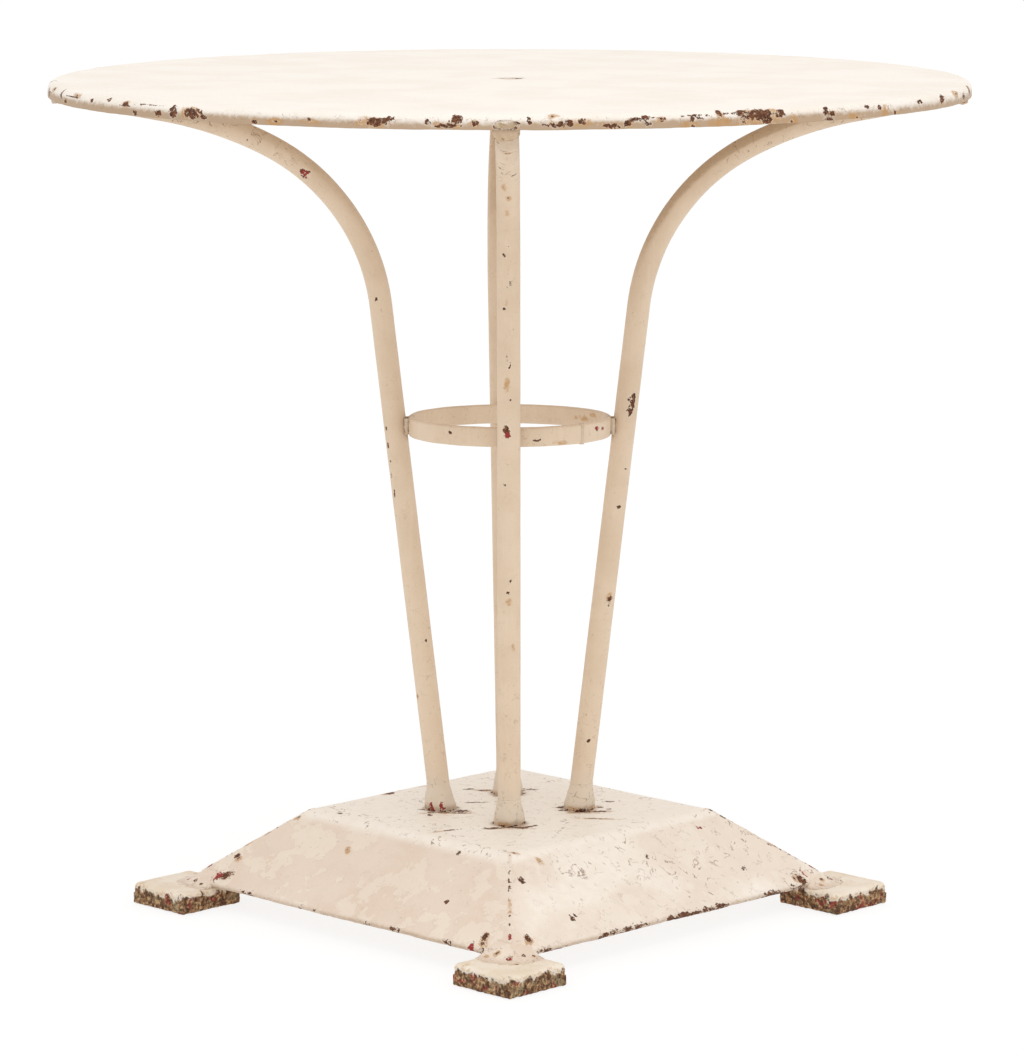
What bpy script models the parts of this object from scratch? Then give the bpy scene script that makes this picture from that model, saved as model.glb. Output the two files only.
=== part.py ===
"""Round garden bistro table of painted welded steel, with no moving parts.

A pressed sheet top with a turned-down rim stands on four bent tube legs.
A flat bar ring ties the legs together, and they are welded to a base of
folded sheet that stands on four square pads.

The origin is on the floor under the middle of the table, +Z is up, and the
sides of the square base run along X and Y, so the legs lie on its diagonals.
Sizes are in metres.
"""

import math

import bmesh
import bpy
from mathutils import Matrix, Vector

# Clearances
GAP = 0.0003                 # between faces that touch on the real table

# Table top
TABLE_HEIGHT = 0.7357
TOP_RADIUS = 0.400
TOP_SHEET = 0.002
RIM_DEPTH = 0.0135
RIM_ROUNDING = 0.0065        # outer radius where the top turns down
DISH_RADIUS = 0.012          # shallow dish around the drain hole
DISH_DEPTH = 0.0022
DRAIN_RADIUS = 0.005
TOP_STEPS = 96
RIM_STEPS = 4

# Legs, of round tube
TUBE_RADIUS = 0.010
TUBE_WALL = 0.002
LEG_FOOT_RADIUS = 0.0611     # from the table's axis to the tube's centre on the base
LEG_END_INSET = 0.012        # from the rim's outside to the tube's end
LEG_LEAN = math.radians(6.55)
LOWER_BEND_RADIUS = 0.182
LOWER_BEND_ANGLE = math.radians(63.3)
UPPER_BEND_RADIUS = 0.329
UPPER_BEND_ANGLE = math.radians(80.0)
LOWER_BEND_STEPS = 8
UPPER_BEND_STEPS = 5
TUBE_SIDES = 16

# Ring stretcher, of flat bar on edge
RING_BELOW_TOP = 0.3047       # from the top's face down to the bar's middle
RING_TILT_RISE = 0.0021      # the ring sits higher at the front right, lower opposite
RING_BAR_HEIGHT = 0.0172
RING_BAR_THICKNESS = 0.005
RING_BAR_EDGE = 0.0014
RING_JOINT_WIDTH = 0.003
RING_JOINT_ANGLE = 0.0       # where the bar's two ends meet
RING_STEPS = 72

# Base, of folded sheet
BASE_HEIGHT = 0.0866
BASE_SHEET = 0.003
PLATE_HALF_INSIDE = 0.1248   # inside fold line of the flat plate
SKIRT_HALF_INSIDE = 0.2022   # inside lower edge of the sloping sides
FOLD_RADIUS_INSIDE = 0.012
CORNER_RADIUS_OUTSIDE = 0.005
CORNER_RADIUS_INSIDE = 0.002
FOLD_STEPS = 4
CORNER_STEPS = 3

# Foot pads
PAD_SIDE = 0.0690
PAD_HEIGHT = 0.0201
PAD_EDGE = 0.003

# Welds
FOOT_WELD_SPREAD = 0.0048     # how far the weld stands out from the tube
FOOT_WELD_HEIGHT = 0.023
FOOT_WELD_SIDES = 20
RING_WELD_RADIUS = 0.0016
RING_JOINT_CROWN = 0.0006
RIM_PLUG_HALF_WIDTH = 0.0080
RIM_PLUG_HALF_HEIGHT = 0.0036
RIM_PLUG_EDGE_MARGIN = 0.0008
RIM_PLUG_CROWN = 0.0004
RIM_PLUG_SIDES = 24
LEG_END_WELD_INSET = 0.0015   # from the tube's outside to the weld's
PAD_WELD_RADIUS = 0.0020
PAD_WELD_END_MARGIN = 0.0015
SEAM_RADIUS = 0.0018
SEAM_CROWN = 0.0008
SEAM_END_MARGIN = 0.006

# Each corner's name and direction, with how far its hand-bent leg strays
# sideways: by so much for each metre outwards, each metre up, and throughout.
CORNERS = (
    ("front_right", math.radians(-45.0), -0.0074, 0.0, 0.0),
    ("back_right", math.radians(45.0), 0.0, 0.0, 0.0),
    ("back_left", math.radians(135.0), -0.0549, 0.0240, 0.00506),
    ("front_left", math.radians(225.0), 0.0, 0.0, 0.0),
)

# Worked out from the sizes above
TOP_UNDERSIDE = TABLE_HEIGHT - TOP_SHEET
RIM_LOWER_EDGE = TABLE_HEIGHT - RIM_DEPTH
LEG_FOOT_HEIGHT = BASE_HEIGHT + GAP
RING_MIDDLE_HEIGHT = TABLE_HEIGHT - RING_BELOW_TOP
LEG_END_RADIUS = TOP_RADIUS - LEG_END_INSET
LEG_END_HEIGHT = TOP_UNDERSIDE - GAP - TUBE_RADIUS / math.sin(UPPER_BEND_ANGLE)
PAD_TOP = PAD_HEIGHT + GAP
SKIRT_SLOPE = math.atan2(
    BASE_HEIGHT - BASE_SHEET - PAD_TOP, SKIRT_HALF_INSIDE - PLATE_HALF_INSIDE
)
SKIRT_HALF_OUTSIDE = SKIRT_HALF_INSIDE + BASE_SHEET * math.sin(SKIRT_SLOPE)
PAD_CENTRE = SKIRT_HALF_OUTSIDE
SKIRT_EDGE_HEIGHT = PAD_TOP + BASE_SHEET * math.cos(SKIRT_SLOPE)
LEG_END_WELD_RADIUS = TUBE_RADIUS - LEG_END_WELD_INSET
DIAGONAL = math.sqrt(2.0)


def clear_scene():
    for old in list(bpy.data.objects):
        bpy.data.objects.remove(old, do_unlink=True)


def make_material(name, colour, roughness, metallic):
    material = bpy.data.materials.new(name)
    material.use_nodes = True
    shader = material.node_tree.nodes["Principled BSDF"]
    shader.inputs["Base Color"].default_value = (*colour, 1.0)
    shader.inputs["Roughness"].default_value = roughness
    shader.inputs["Metallic"].default_value = metallic
    return material


def add_object(name, data, material, azimuth=0.0):
    data.materials.append(material)
    obj = bpy.data.objects.new(name, data)
    obj.rotation_euler.z = azimuth
    bpy.context.scene.collection.objects.link(obj)
    return obj


def finish_mesh(name, bm, smooth_angle=math.radians(35.0)):
    """Turns bm into a mesh with its faces pointing out, smooth up to an angle."""
    bmesh.ops.recalc_face_normals(bm, faces=bm.faces)
    mesh = bpy.data.meshes.new(name)
    bm.to_mesh(mesh)
    bm.free()
    mesh.shade_smooth()
    mesh.set_sharp_from_angle(angle=smooth_angle)
    return mesh


def loft(name, loops, joined):
    """Skins closed loops of points in order. The last loop meets the first
    one where joined is true, and the two end loops are capped where not."""
    bm = bmesh.new()
    rows = [[bm.verts.new(point) for point in loop] for loop in loops]
    pairs = list(zip(rows, rows[1:]))
    if joined:
        pairs.append((rows[-1], rows[0]))
    else:
        bm.faces.new(rows[0])
        bm.faces.new(rows[-1])
    for row, after in pairs:
        for i in range(len(row)):
            j = (i + 1) % len(row)
            bm.faces.new((row[i], row[j], after[j], after[i]))
    return finish_mesh(name, bm)


def arc(centre, radius, start, end, steps):
    """Points (across, up) on an arc whose angles are measured from +Z towards +X."""
    points = []
    for step in range(steps + 1):
        angle = start + (end - start) * step / steps
        across = centre[0] + radius * math.sin(angle)
        up = centre[1] + radius * math.cos(angle)
        points.append((across, up))
    return points


def bead_curve(name, points, radius):
    """A weld bead along points of (x, y, z, share of the full radius)."""
    curve = bpy.data.curves.new(name, "CURVE")
    curve.dimensions = "3D"
    curve.bevel_depth = radius
    curve.bevel_resolution = 2
    curve.use_fill_caps = True
    spline = curve.splines.new("POLY")
    spline.points.add(len(points) - 1)
    for spot, (x, y, z, share) in zip(spline.points, points):
        spot.co = (x, y, z, 1.0)
        spot.radius = share
    return curve


def leg_centreline():
    """The tube's centre as (radius, height) points from foot to rim.

    A straight rise, a lower bend, an easier upper bend and a short straight
    end follow each other. The lengths of the two straights are what brings
    the foot to its place on the base and the end to its place at the rim."""
    bends_out = LOWER_BEND_RADIUS * (math.cos(LEG_LEAN) - math.cos(LOWER_BEND_ANGLE))
    bends_out += UPPER_BEND_RADIUS * (math.cos(LOWER_BEND_ANGLE) - math.cos(UPPER_BEND_ANGLE))
    bends_up = LOWER_BEND_RADIUS * (math.sin(LOWER_BEND_ANGLE) - math.sin(LEG_LEAN))
    bends_up += UPPER_BEND_RADIUS * (math.sin(UPPER_BEND_ANGLE) - math.sin(LOWER_BEND_ANGLE))
    out = LEG_END_RADIUS - LEG_FOOT_RADIUS - bends_out
    up = LEG_END_HEIGHT - LEG_FOOT_HEIGHT - bends_up
    spread = math.sin(UPPER_BEND_ANGLE - LEG_LEAN)
    rise = (up * math.sin(UPPER_BEND_ANGLE) - out * math.cos(UPPER_BEND_ANGLE)) / spread
    start = (
        LEG_FOOT_RADIUS + rise * math.sin(LEG_LEAN),
        LEG_FOOT_HEIGHT + rise * math.cos(LEG_LEAN),
    )
    points = [(LEG_FOOT_RADIUS, LEG_FOOT_HEIGHT), start]
    bends = (
        (LOWER_BEND_RADIUS, LEG_LEAN, LOWER_BEND_ANGLE, LOWER_BEND_STEPS),
        (UPPER_BEND_RADIUS, LOWER_BEND_ANGLE, UPPER_BEND_ANGLE, UPPER_BEND_STEPS),
    )
    for radius, begin, finish, steps in bends:
        origin = points[-1]
        for step in range(1, steps + 1):
            angle = begin + (finish - begin) * step / steps
            across = origin[0] + radius * (math.cos(begin) - math.cos(angle))
            height = origin[1] + radius * (math.sin(angle) - math.sin(begin))
            points.append((across, height))
    points.append((LEG_END_RADIUS, LEG_END_HEIGHT))
    return points


def leg_at(height):
    """A leg's distance from the table's axis at a height, and its lean there."""
    points = leg_centreline()
    for low, high in zip(points, points[1:]):
        if height <= high[1]:
            break
    lean = math.atan2(high[0] - low[0], high[1] - low[1])
    return low[0] + (height - low[1]) * math.tan(lean), lean


def ring_outer_radius():
    """The ring's outside, which meets the legs where they are closest to the axis."""
    bottom = RING_MIDDLE_HEIGHT - RING_BAR_HEIGHT / 2 - RING_TILT_RISE
    radius, lean = leg_at(bottom)
    return radius - TUBE_RADIUS / math.cos(lean) - GAP


def strayed(radius, height, turn, tilt, shift):
    """A point of a leg, which strays sideways from its straight plane."""
    aside = shift + turn * radius + tilt * (height - LEG_FOOT_HEIGHT)
    return Vector((radius, aside, height))


def end_turn(turn, tilt, shift):
    """How far round Z a leg's end lies from its corner's direction."""
    end = strayed(LEG_END_RADIUS, LEG_END_HEIGHT, turn, tilt, shift)
    return math.atan2(end.y, end.x)


# Table top

def top_profile():
    """The sheet's section, from the drain hole out over the rim and back inside."""
    rounding = (TOP_RADIUS - RIM_ROUNDING, TABLE_HEIGHT - RIM_ROUNDING)
    quarter = math.pi / 2
    outer = arc(rounding, RIM_ROUNDING, 0.0, quarter, RIM_STEPS)
    inner = arc(rounding, RIM_ROUNDING - TOP_SHEET, quarter, 0.0, RIM_STEPS)
    profile = [(DRAIN_RADIUS, TABLE_HEIGHT - DISH_DEPTH), (DISH_RADIUS, TABLE_HEIGHT)]
    profile += outer
    profile += [(TOP_RADIUS, RIM_LOWER_EDGE), (TOP_RADIUS - TOP_SHEET, RIM_LOWER_EDGE)]
    profile += inner
    profile += [(DISH_RADIUS, TOP_UNDERSIDE), (DRAIN_RADIUS, TOP_UNDERSIDE - DISH_DEPTH)]
    return profile


def turned_mesh(name, profile, steps):
    """Spins a closed profile of (radius, height) once around Z."""
    bm = bmesh.new()
    verts = [bm.verts.new((radius, 0.0, height)) for radius, height in profile]
    edges = [bm.edges.new((verts[i - 1], verts[i])) for i in range(len(verts))]
    bmesh.ops.spin(
        bm, geom=verts + edges, cent=(0, 0, 0), axis=(0, 0, 1), angle=2 * math.pi,
        steps=steps, use_merge=True,
    )
    return finish_mesh(name, bm)


def rim_oval(radius_from_axis, grow):
    """The oval of a rim plug weld, seen along +X, at a distance from the axis."""
    middle = RIM_LOWER_EDGE + RIM_PLUG_EDGE_MARGIN + RIM_PLUG_HALF_HEIGHT
    points = []
    for side in range(RIM_PLUG_SIDES):
        angle = 2 * math.pi * side / RIM_PLUG_SIDES
        y = (RIM_PLUG_HALF_WIDTH + grow) * math.cos(angle)
        z = middle + (RIM_PLUG_HALF_HEIGHT + grow) * math.sin(angle)
        points.append((radius_from_axis, y, z))
    return points


def cut_away(obj, name, mesh, azimuth):
    """Cuts a mesh, turned about Z, out of an object. The cutter isn't part of the table."""
    cutter = bpy.data.objects.new(name, mesh)
    cutter.rotation_euler.z = azimuth
    cutter.hide_render = True
    cutter.display_type = "WIRE"
    bpy.context.scene.collection.objects.link(cutter)
    cut = obj.modifiers.new(name, "BOOLEAN")
    cut.operation = "DIFFERENCE"
    cut.solver = "EXACT"
    cut.object = cutter


def build_top(material):
    top = add_object("table_top", turned_mesh("table_top", top_profile(), TOP_STEPS), material)
    inside = rim_oval(TOP_RADIUS - 2 * TOP_SHEET, GAP)
    outside = rim_oval(TOP_RADIUS + TOP_SHEET, GAP)
    for name, azimuth, turn, tilt, shift in CORNERS:
        hole = loft(f"rim_hole_{name}", [inside, outside], joined=False)
        cut_away(top, f"rim_hole_{name}", hole, azimuth + end_turn(turn, tilt, shift))


def build_rim_plugs(material):
    """The oval welds that fill a hole in the rim outside each leg's end."""
    loops = [
        rim_oval(TOP_RADIUS - TOP_SHEET, 0.0),
        rim_oval(TOP_RADIUS - RIM_PLUG_CROWN, 0.0),
        rim_oval(TOP_RADIUS, -2 * RIM_PLUG_CROWN),
    ]
    for name, azimuth, turn, tilt, shift in CORNERS:
        plug = f"rim_plug_weld_{name}"
        mesh = loft(plug, loops, joined=False)
        add_object(plug, mesh, material, azimuth + end_turn(turn, tilt, shift))


# Legs

def tube_loops(centres, radius):
    """Loops of a tube around centre points, cut flat on the base and at the rim."""
    loops = []
    last = len(centres) - 1
    for i, centre in enumerate(centres):
        before = centres[max(i - 1, 0)]
        after = centres[min(i + 1, last)]
        along = (after - before).normalized()
        side = Vector((0, 1, 0))
        side = (side - along * side.dot(along)).normalized()
        outward = side.cross(along)
        loop = []
        for step in range(TUBE_SIDES):
            angle = 2 * math.pi * step / TUBE_SIDES
            offset = outward * (radius * math.cos(angle)) + side * (radius * math.sin(angle))
            if i == 0:
                offset -= along * (offset.z / along.z)
            if i == last:
                offset -= along * (offset.x / along.x)
            loop.append(centre + offset)
        loops.append(loop)
    return loops


def build_legs(material):
    centreline = leg_centreline()
    for name, azimuth, turn, tilt, shift in CORNERS:
        centres = [strayed(r, z, turn, tilt, shift) for r, z in centreline]
        outer = tube_loops(centres, TUBE_RADIUS)
        inner = tube_loops(centres, TUBE_RADIUS - TUBE_WALL)
        mesh = loft(f"leg_{name}", outer + inner[::-1], joined=True)
        add_object(f"leg_{name}", mesh, material, azimuth)


def build_foot_welds(material):
    """A bulbous bead around the foot of each leg, on the base plate."""
    bore = TUBE_RADIUS + GAP
    shares = ((0.0, 1.0), (0.15, 0.9), (0.45, 0.7), (0.75, 0.45), (0.95, 0.25), (1.0, 0.1))
    spread = FOOT_WELD_SPREAD - GAP
    profile = [(bore + spread * out, FOOT_WELD_HEIGHT * up) for out, up in shares]
    profile += [(TUBE_RADIUS + spread, 0.0), (bore, 0.0)]
    for name, azimuth, turn, tilt, shift in CORNERS:
        foot = strayed(LEG_FOOT_RADIUS, LEG_FOOT_HEIGHT, turn, tilt, shift)
        above = strayed(
            LEG_FOOT_RADIUS + math.tan(LEG_LEAN), LEG_FOOT_HEIGHT + 1.0, turn, tilt, shift
        )
        along = (above - foot).normalized()
        side = (Vector((0, 1, 0)) - along * along.y).normalized()
        outward = side.cross(along)
        loops = []
        for radius, height in profile:
            loop = []
            for step in range(FOOT_WELD_SIDES):
                angle = 2 * math.pi * step / FOOT_WELD_SIDES
                offset = outward * (radius * math.cos(angle)) + side * (radius * math.sin(angle))
                base = foot + offset - along * (offset.z / along.z)
                loop.append(base + along * height)
            loops.append(loop)
        mesh = loft(f"leg_foot_weld_{name}", loops, joined=True)
        add_object(f"leg_foot_weld_{name}", mesh, material, azimuth)


def build_end_welds(material):
    """Weld between the mouth of each leg and the inside of the rim."""
    mouth = LEG_END_RADIUS + GAP
    for name, azimuth, turn, tilt, shift in CORNERS:
        centre = strayed(LEG_END_RADIUS, LEG_END_HEIGHT, turn, tilt, shift)
        loop = []
        for side in range(RIM_PLUG_SIDES):
            angle = 2 * math.pi * side / RIM_PLUG_SIDES
            y = centre.y + LEG_END_WELD_RADIUS * math.cos(angle)
            z = centre.z + LEG_END_WELD_RADIUS * math.sin(angle)
            loop.append((mouth, y, z))
        to_plug = Matrix.Rotation(end_turn(turn, tilt, shift), 3, "Z")
        oval = rim_oval(TOP_RADIUS - TOP_SHEET - 2 * GAP, -GAP)
        plug_end = [to_plug @ Vector(point) for point in oval]
        mesh = loft(f"leg_end_weld_{name}", [loop, plug_end], joined=False)
        add_object(f"leg_end_weld_{name}", mesh, material, azimuth)


# Ring stretcher

def ring_height(azimuth):
    """The height of the tilted ring's middle in a direction."""
    return RING_MIDDLE_HEIGHT + RING_TILT_RISE * math.cos(azimuth - CORNERS[0][1])


def bar_section(grow):
    """The ring bar's section as (radius, height above its middle), with eased edges."""
    half_thickness = RING_BAR_THICKNESS / 2 + grow
    half_height = RING_BAR_HEIGHT / 2 + grow
    middle = ring_outer_radius() - RING_BAR_THICKNESS / 2
    edge = RING_BAR_EDGE
    points = []
    for across, up in ((1, -1), (1, 1), (-1, 1), (-1, -1)):
        near = (half_thickness - edge, half_height)
        far = (half_thickness, half_height - edge)
        order = (near, far) if across * up < 0 else (far, near)
        for x, z in order:
            points.append((middle + across * x, up * z))
    return points


def ring_loop(section, angle):
    return [(r * math.cos(angle), r * math.sin(angle), z) for r, z in section]


def place_ring_piece(obj):
    """Lifts a piece to the ring's height and tilts it, high side at the front right."""
    obj.location.z = RING_MIDDLE_HEIGHT
    obj.rotation_mode = "AXIS_ANGLE"
    tilt = math.asin(RING_TILT_RISE / ring_outer_radius())
    obj.rotation_axis_angle = (-tilt, 1.0, 1.0, 0.0)


def build_ring(bar_material, weld_material):
    half_joint = RING_JOINT_WIDTH / 2 / ring_outer_radius()
    start = RING_JOINT_ANGLE + half_joint
    sweep = 2 * math.pi - 2 * half_joint
    section = bar_section(0.0)
    loops = [ring_loop(section, start + sweep * i / RING_STEPS) for i in range(RING_STEPS + 1)]
    bar = add_object("ring_stretcher", loft("ring_stretcher", loops, joined=False), bar_material)
    place_ring_piece(bar)

    half_weld = half_joint - GAP / ring_outer_radius()
    stations = ((-1.0, 0.0), (-0.5, RING_JOINT_CROWN), (0.5, RING_JOINT_CROWN), (1.0, 0.0))
    loops = [ring_loop(bar_section(up), RING_JOINT_ANGLE + half_weld * at) for at, up in stations]
    weld_mesh = loft("ring_closing_weld", loops, joined=False)
    weld = add_object("ring_closing_weld", weld_mesh, weld_material)
    place_ring_piece(weld)


def fillet_spot(leg, lean, hand):
    """The centre of a bead that lies against both the ring's outside and a leg."""
    ring_reach = ring_outer_radius() + GAP + RING_WELD_RADIUS
    leg_reach = TUBE_RADIUS / math.cos(lean) + GAP + RING_WELD_RADIUS
    distance = math.hypot(leg.x, leg.y)
    along = (distance ** 2 + ring_reach ** 2 - leg_reach ** 2) / (2 * distance)
    across = hand * math.sqrt(ring_reach ** 2 - along ** 2)
    x = (leg.x * along - leg.y * across) / distance
    y = (leg.y * along + leg.x * across) / distance
    return x, y


def build_ring_welds(material):
    """Two upright fillet beads where each leg crosses the ring."""
    reach = RING_BAR_HEIGHT / 2 - RING_WELD_RADIUS
    stations = ((-1.0, 0.6), (-0.6, 1.0), (0.0, 0.9), (0.6, 1.0), (1.0, 0.6))
    for name, azimuth, turn, tilt, shift in CORNERS:
        for hand, side in ((-1, "a"), (1, "b")):
            points = []
            for at, share in stations:
                z = ring_height(azimuth) + reach * at
                radius, lean = leg_at(z)
                x, y = fillet_spot(strayed(radius, z, turn, tilt, shift), lean, hand)
                points.append((x, y, z, share))
            weld = f"leg_ring_weld_{name}_{side}"
            add_object(weld, bead_curve(weld, points, RING_WELD_RADIUS), material, azimuth)


# Base

def square_loop(half, height, corner):
    """A square of the given half side with rounded corners, as a loop of points."""
    points = []
    for quarter in range(4):
        turned = quarter * math.pi / 2
        for step in range(CORNER_STEPS + 1):
            angle = math.pi / 2 * step / CORNER_STEPS
            x = half - corner + corner * math.cos(angle)
            y = half - corner + corner * math.sin(angle)
            points.append((
                x * math.cos(turned) - y * math.sin(turned),
                x * math.sin(turned) + y * math.cos(turned),
                height,
            ))
    return points


def fold_centre():
    """The centre of the fold's arcs, as (half side, height)."""
    outside = FOLD_RADIUS_INSIDE + BASE_SHEET
    fold_line = PLATE_HALF_INSIDE + BASE_SHEET * math.tan(SKIRT_SLOPE / 2)
    return fold_line - outside * math.tan(SKIRT_SLOPE / 2), BASE_HEIGHT - outside


def ridge_points():
    """Outer ridge of a corner, as (distance from axis, height), top then bottom."""
    half, height = arc(
        fold_centre(), FOLD_RADIUS_INSIDE + BASE_SHEET, SKIRT_SLOPE, SKIRT_SLOPE, 1
    )[0]
    rounding = CORNER_RADIUS_OUTSIDE * (DIAGONAL - 1)
    top = (half * DIAGONAL - rounding, height)
    bottom = (SKIRT_HALF_OUTSIDE * DIAGONAL - rounding, SKIRT_EDGE_HEIGHT)
    return top, bottom


def slit_mesh(name):
    """The slit that each corner of the folded sheet leaves open for its weld."""
    top, bottom = ridge_points()
    half_width = SEAM_RADIUS + GAP
    loops = []
    for x in (top[0], bottom[0] + PAD_SIDE):
        low = -PAD_HEIGHT
        high = TABLE_HEIGHT / 2
        loops.append([
            (x, -half_width, low), (x, half_width, low),
            (x, half_width, high), (x, -half_width, high),
        ])
    return loft(name, loops, joined=False)


def build_base(material):
    centre = fold_centre()
    outside = arc(centre, FOLD_RADIUS_INSIDE + BASE_SHEET, 0.0, SKIRT_SLOPE, FOLD_STEPS)
    outside.append((SKIRT_HALF_OUTSIDE, SKIRT_EDGE_HEIGHT))
    inside = [(SKIRT_HALF_INSIDE, PAD_TOP)]
    inside += arc(centre, FOLD_RADIUS_INSIDE, SKIRT_SLOPE, 0.0, FOLD_STEPS)
    loops = [square_loop(half, z, CORNER_RADIUS_OUTSIDE) for half, z in outside]
    loops += [square_loop(half, z, CORNER_RADIUS_INSIDE) for half, z in inside]
    base = add_object("base_shell", loft("base_shell", loops, joined=False), material)
    for name, azimuth, _, _, _ in CORNERS:
        cut_away(base, f"corner_slit_{name}", slit_mesh(f"corner_slit_{name}"), azimuth)


def build_corner_seams(material):
    """The dressed weld down each sloping corner of the base."""
    top, bottom = ridge_points()
    run = Vector((bottom[0] - top[0], 0.0, bottom[1] - top[1]))
    down = run.normalized()
    sink = Vector((down.z, 0.0, -down.x)) * (SEAM_RADIUS - SEAM_CROWN)
    first = Vector((top[0], 0.0, top[1])) + down * SEAM_END_MARGIN + sink
    length = run.length - 2 * SEAM_END_MARGIN
    stations = ((0.0, 0.6), (0.05, 1.0), (0.5, 0.95), (0.95, 1.0), (1.0, 0.6))
    for name, azimuth, _, _, _ in CORNERS:
        points = [(*(first + down * (length * at)), share) for at, share in stations]
        seam = f"base_corner_seam_{name}"
        add_object(seam, bead_curve(seam, points, SEAM_RADIUS), material, azimuth)


# Foot pads

def build_pads(material):
    for name, azimuth, _, _, _ in CORNERS:
        bm = bmesh.new()
        bmesh.ops.create_cube(bm, size=1.0)
        bmesh.ops.scale(bm, vec=(PAD_SIDE, PAD_SIDE, PAD_HEIGHT), verts=bm.verts)
        bmesh.ops.bevel(
            bm, geom=bm.edges, offset=PAD_EDGE, segments=2, profile=0.5, affect="EDGES"
        )
        pad = add_object(f"foot_pad_{name}", finish_mesh(f"foot_pad_{name}", bm), material)
        x = math.copysign(PAD_CENTRE, math.cos(azimuth))
        y = math.copysign(PAD_CENTRE, math.sin(azimuth))
        pad.location = (x, y, PAD_HEIGHT / 2)


def build_pad_welds(material):
    """A bead around each corner of the base, where it stands on its pad."""
    offset = PAD_WELD_RADIUS + GAP
    line = SKIRT_HALF_OUTSIDE + offset
    turn = CORNER_RADIUS_OUTSIDE + offset
    start = PAD_CENTRE - PAD_SIDE / 2 + PAD_WELD_END_MARGIN
    z = PAD_TOP + PAD_WELD_RADIUS
    path = [(start, line, 0.6), (start + 2 * PAD_WELD_RADIUS, line, 1.0)]
    corner = arc((line - turn, line - turn), turn, 0.0, math.pi / 2, CORNER_STEPS)
    path += [(x, y, 1.0) for x, y in corner]
    path += [(line, start + 2 * PAD_WELD_RADIUS, 1.0), (line, start, 0.6)]
    points = [(x, y, z, share) for x, y, share in path]
    for name, azimuth, _, _, _ in CORNERS:
        weld = f"pad_weld_{name}"
        bead = bead_curve(weld, points, PAD_WELD_RADIUS)
        add_object(weld, bead, material, azimuth - math.radians(45.0))


def build_table():
    clear_scene()
    top_paint = make_material("top_paint", (0.93, 0.87, 0.80), 0.45, 0.0)
    leg_paint = make_material("leg_paint", (0.73, 0.58, 0.43), 0.5, 0.0)
    base_paint = make_material("base_paint", (0.82, 0.72, 0.60), 0.55, 0.0)
    pad_rust = make_material("pad_rust", (0.28, 0.18, 0.12), 0.85, 0.3)
    build_top(top_paint)
    build_rim_plugs(top_paint)
    build_legs(leg_paint)
    build_end_welds(leg_paint)
    build_foot_welds(leg_paint)
    build_ring(leg_paint, leg_paint)
    build_ring_welds(leg_paint)
    build_base(base_paint)
    build_corner_seams(base_paint)
    build_pads(pad_rust)
    build_pad_welds(base_paint)


build_table()
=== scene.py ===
import math
import bmesh
import bpy
import numpy as np
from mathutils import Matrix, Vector, noise


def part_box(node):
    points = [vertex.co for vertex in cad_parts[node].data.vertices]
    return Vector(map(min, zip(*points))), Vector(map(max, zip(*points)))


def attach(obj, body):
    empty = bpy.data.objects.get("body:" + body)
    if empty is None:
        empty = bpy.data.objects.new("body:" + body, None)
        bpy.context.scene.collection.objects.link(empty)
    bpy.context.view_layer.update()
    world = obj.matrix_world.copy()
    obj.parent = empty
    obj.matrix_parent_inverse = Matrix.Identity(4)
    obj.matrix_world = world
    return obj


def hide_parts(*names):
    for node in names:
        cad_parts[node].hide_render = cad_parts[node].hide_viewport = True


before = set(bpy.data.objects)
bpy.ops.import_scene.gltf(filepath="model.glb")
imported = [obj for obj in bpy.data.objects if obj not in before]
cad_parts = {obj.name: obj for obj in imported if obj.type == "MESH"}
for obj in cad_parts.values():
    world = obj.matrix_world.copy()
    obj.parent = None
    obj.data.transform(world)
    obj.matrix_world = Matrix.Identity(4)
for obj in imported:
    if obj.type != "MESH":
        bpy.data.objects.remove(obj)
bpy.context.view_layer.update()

# The table stands with its base square to X and Y, and its legs on the diagonals.
# For each corner: its direction, and how far its hand-bent leg strays sideways, for
# each metre outwards, for each metre up, and throughout.
corners = {
    "front_right": (-45, -0.0074, 0.0, 0.0),
    "back_right": (45, 0.0, 0.0, 0.0),
    "back_left": (135, -0.0549, 0.0240, 0.00506),
    "front_left": (225, 0.0, 0.0, 0.0),
}
# left between pieces that are fused on the real table
gap = 0.0003


# One wrapper for node trees

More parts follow.
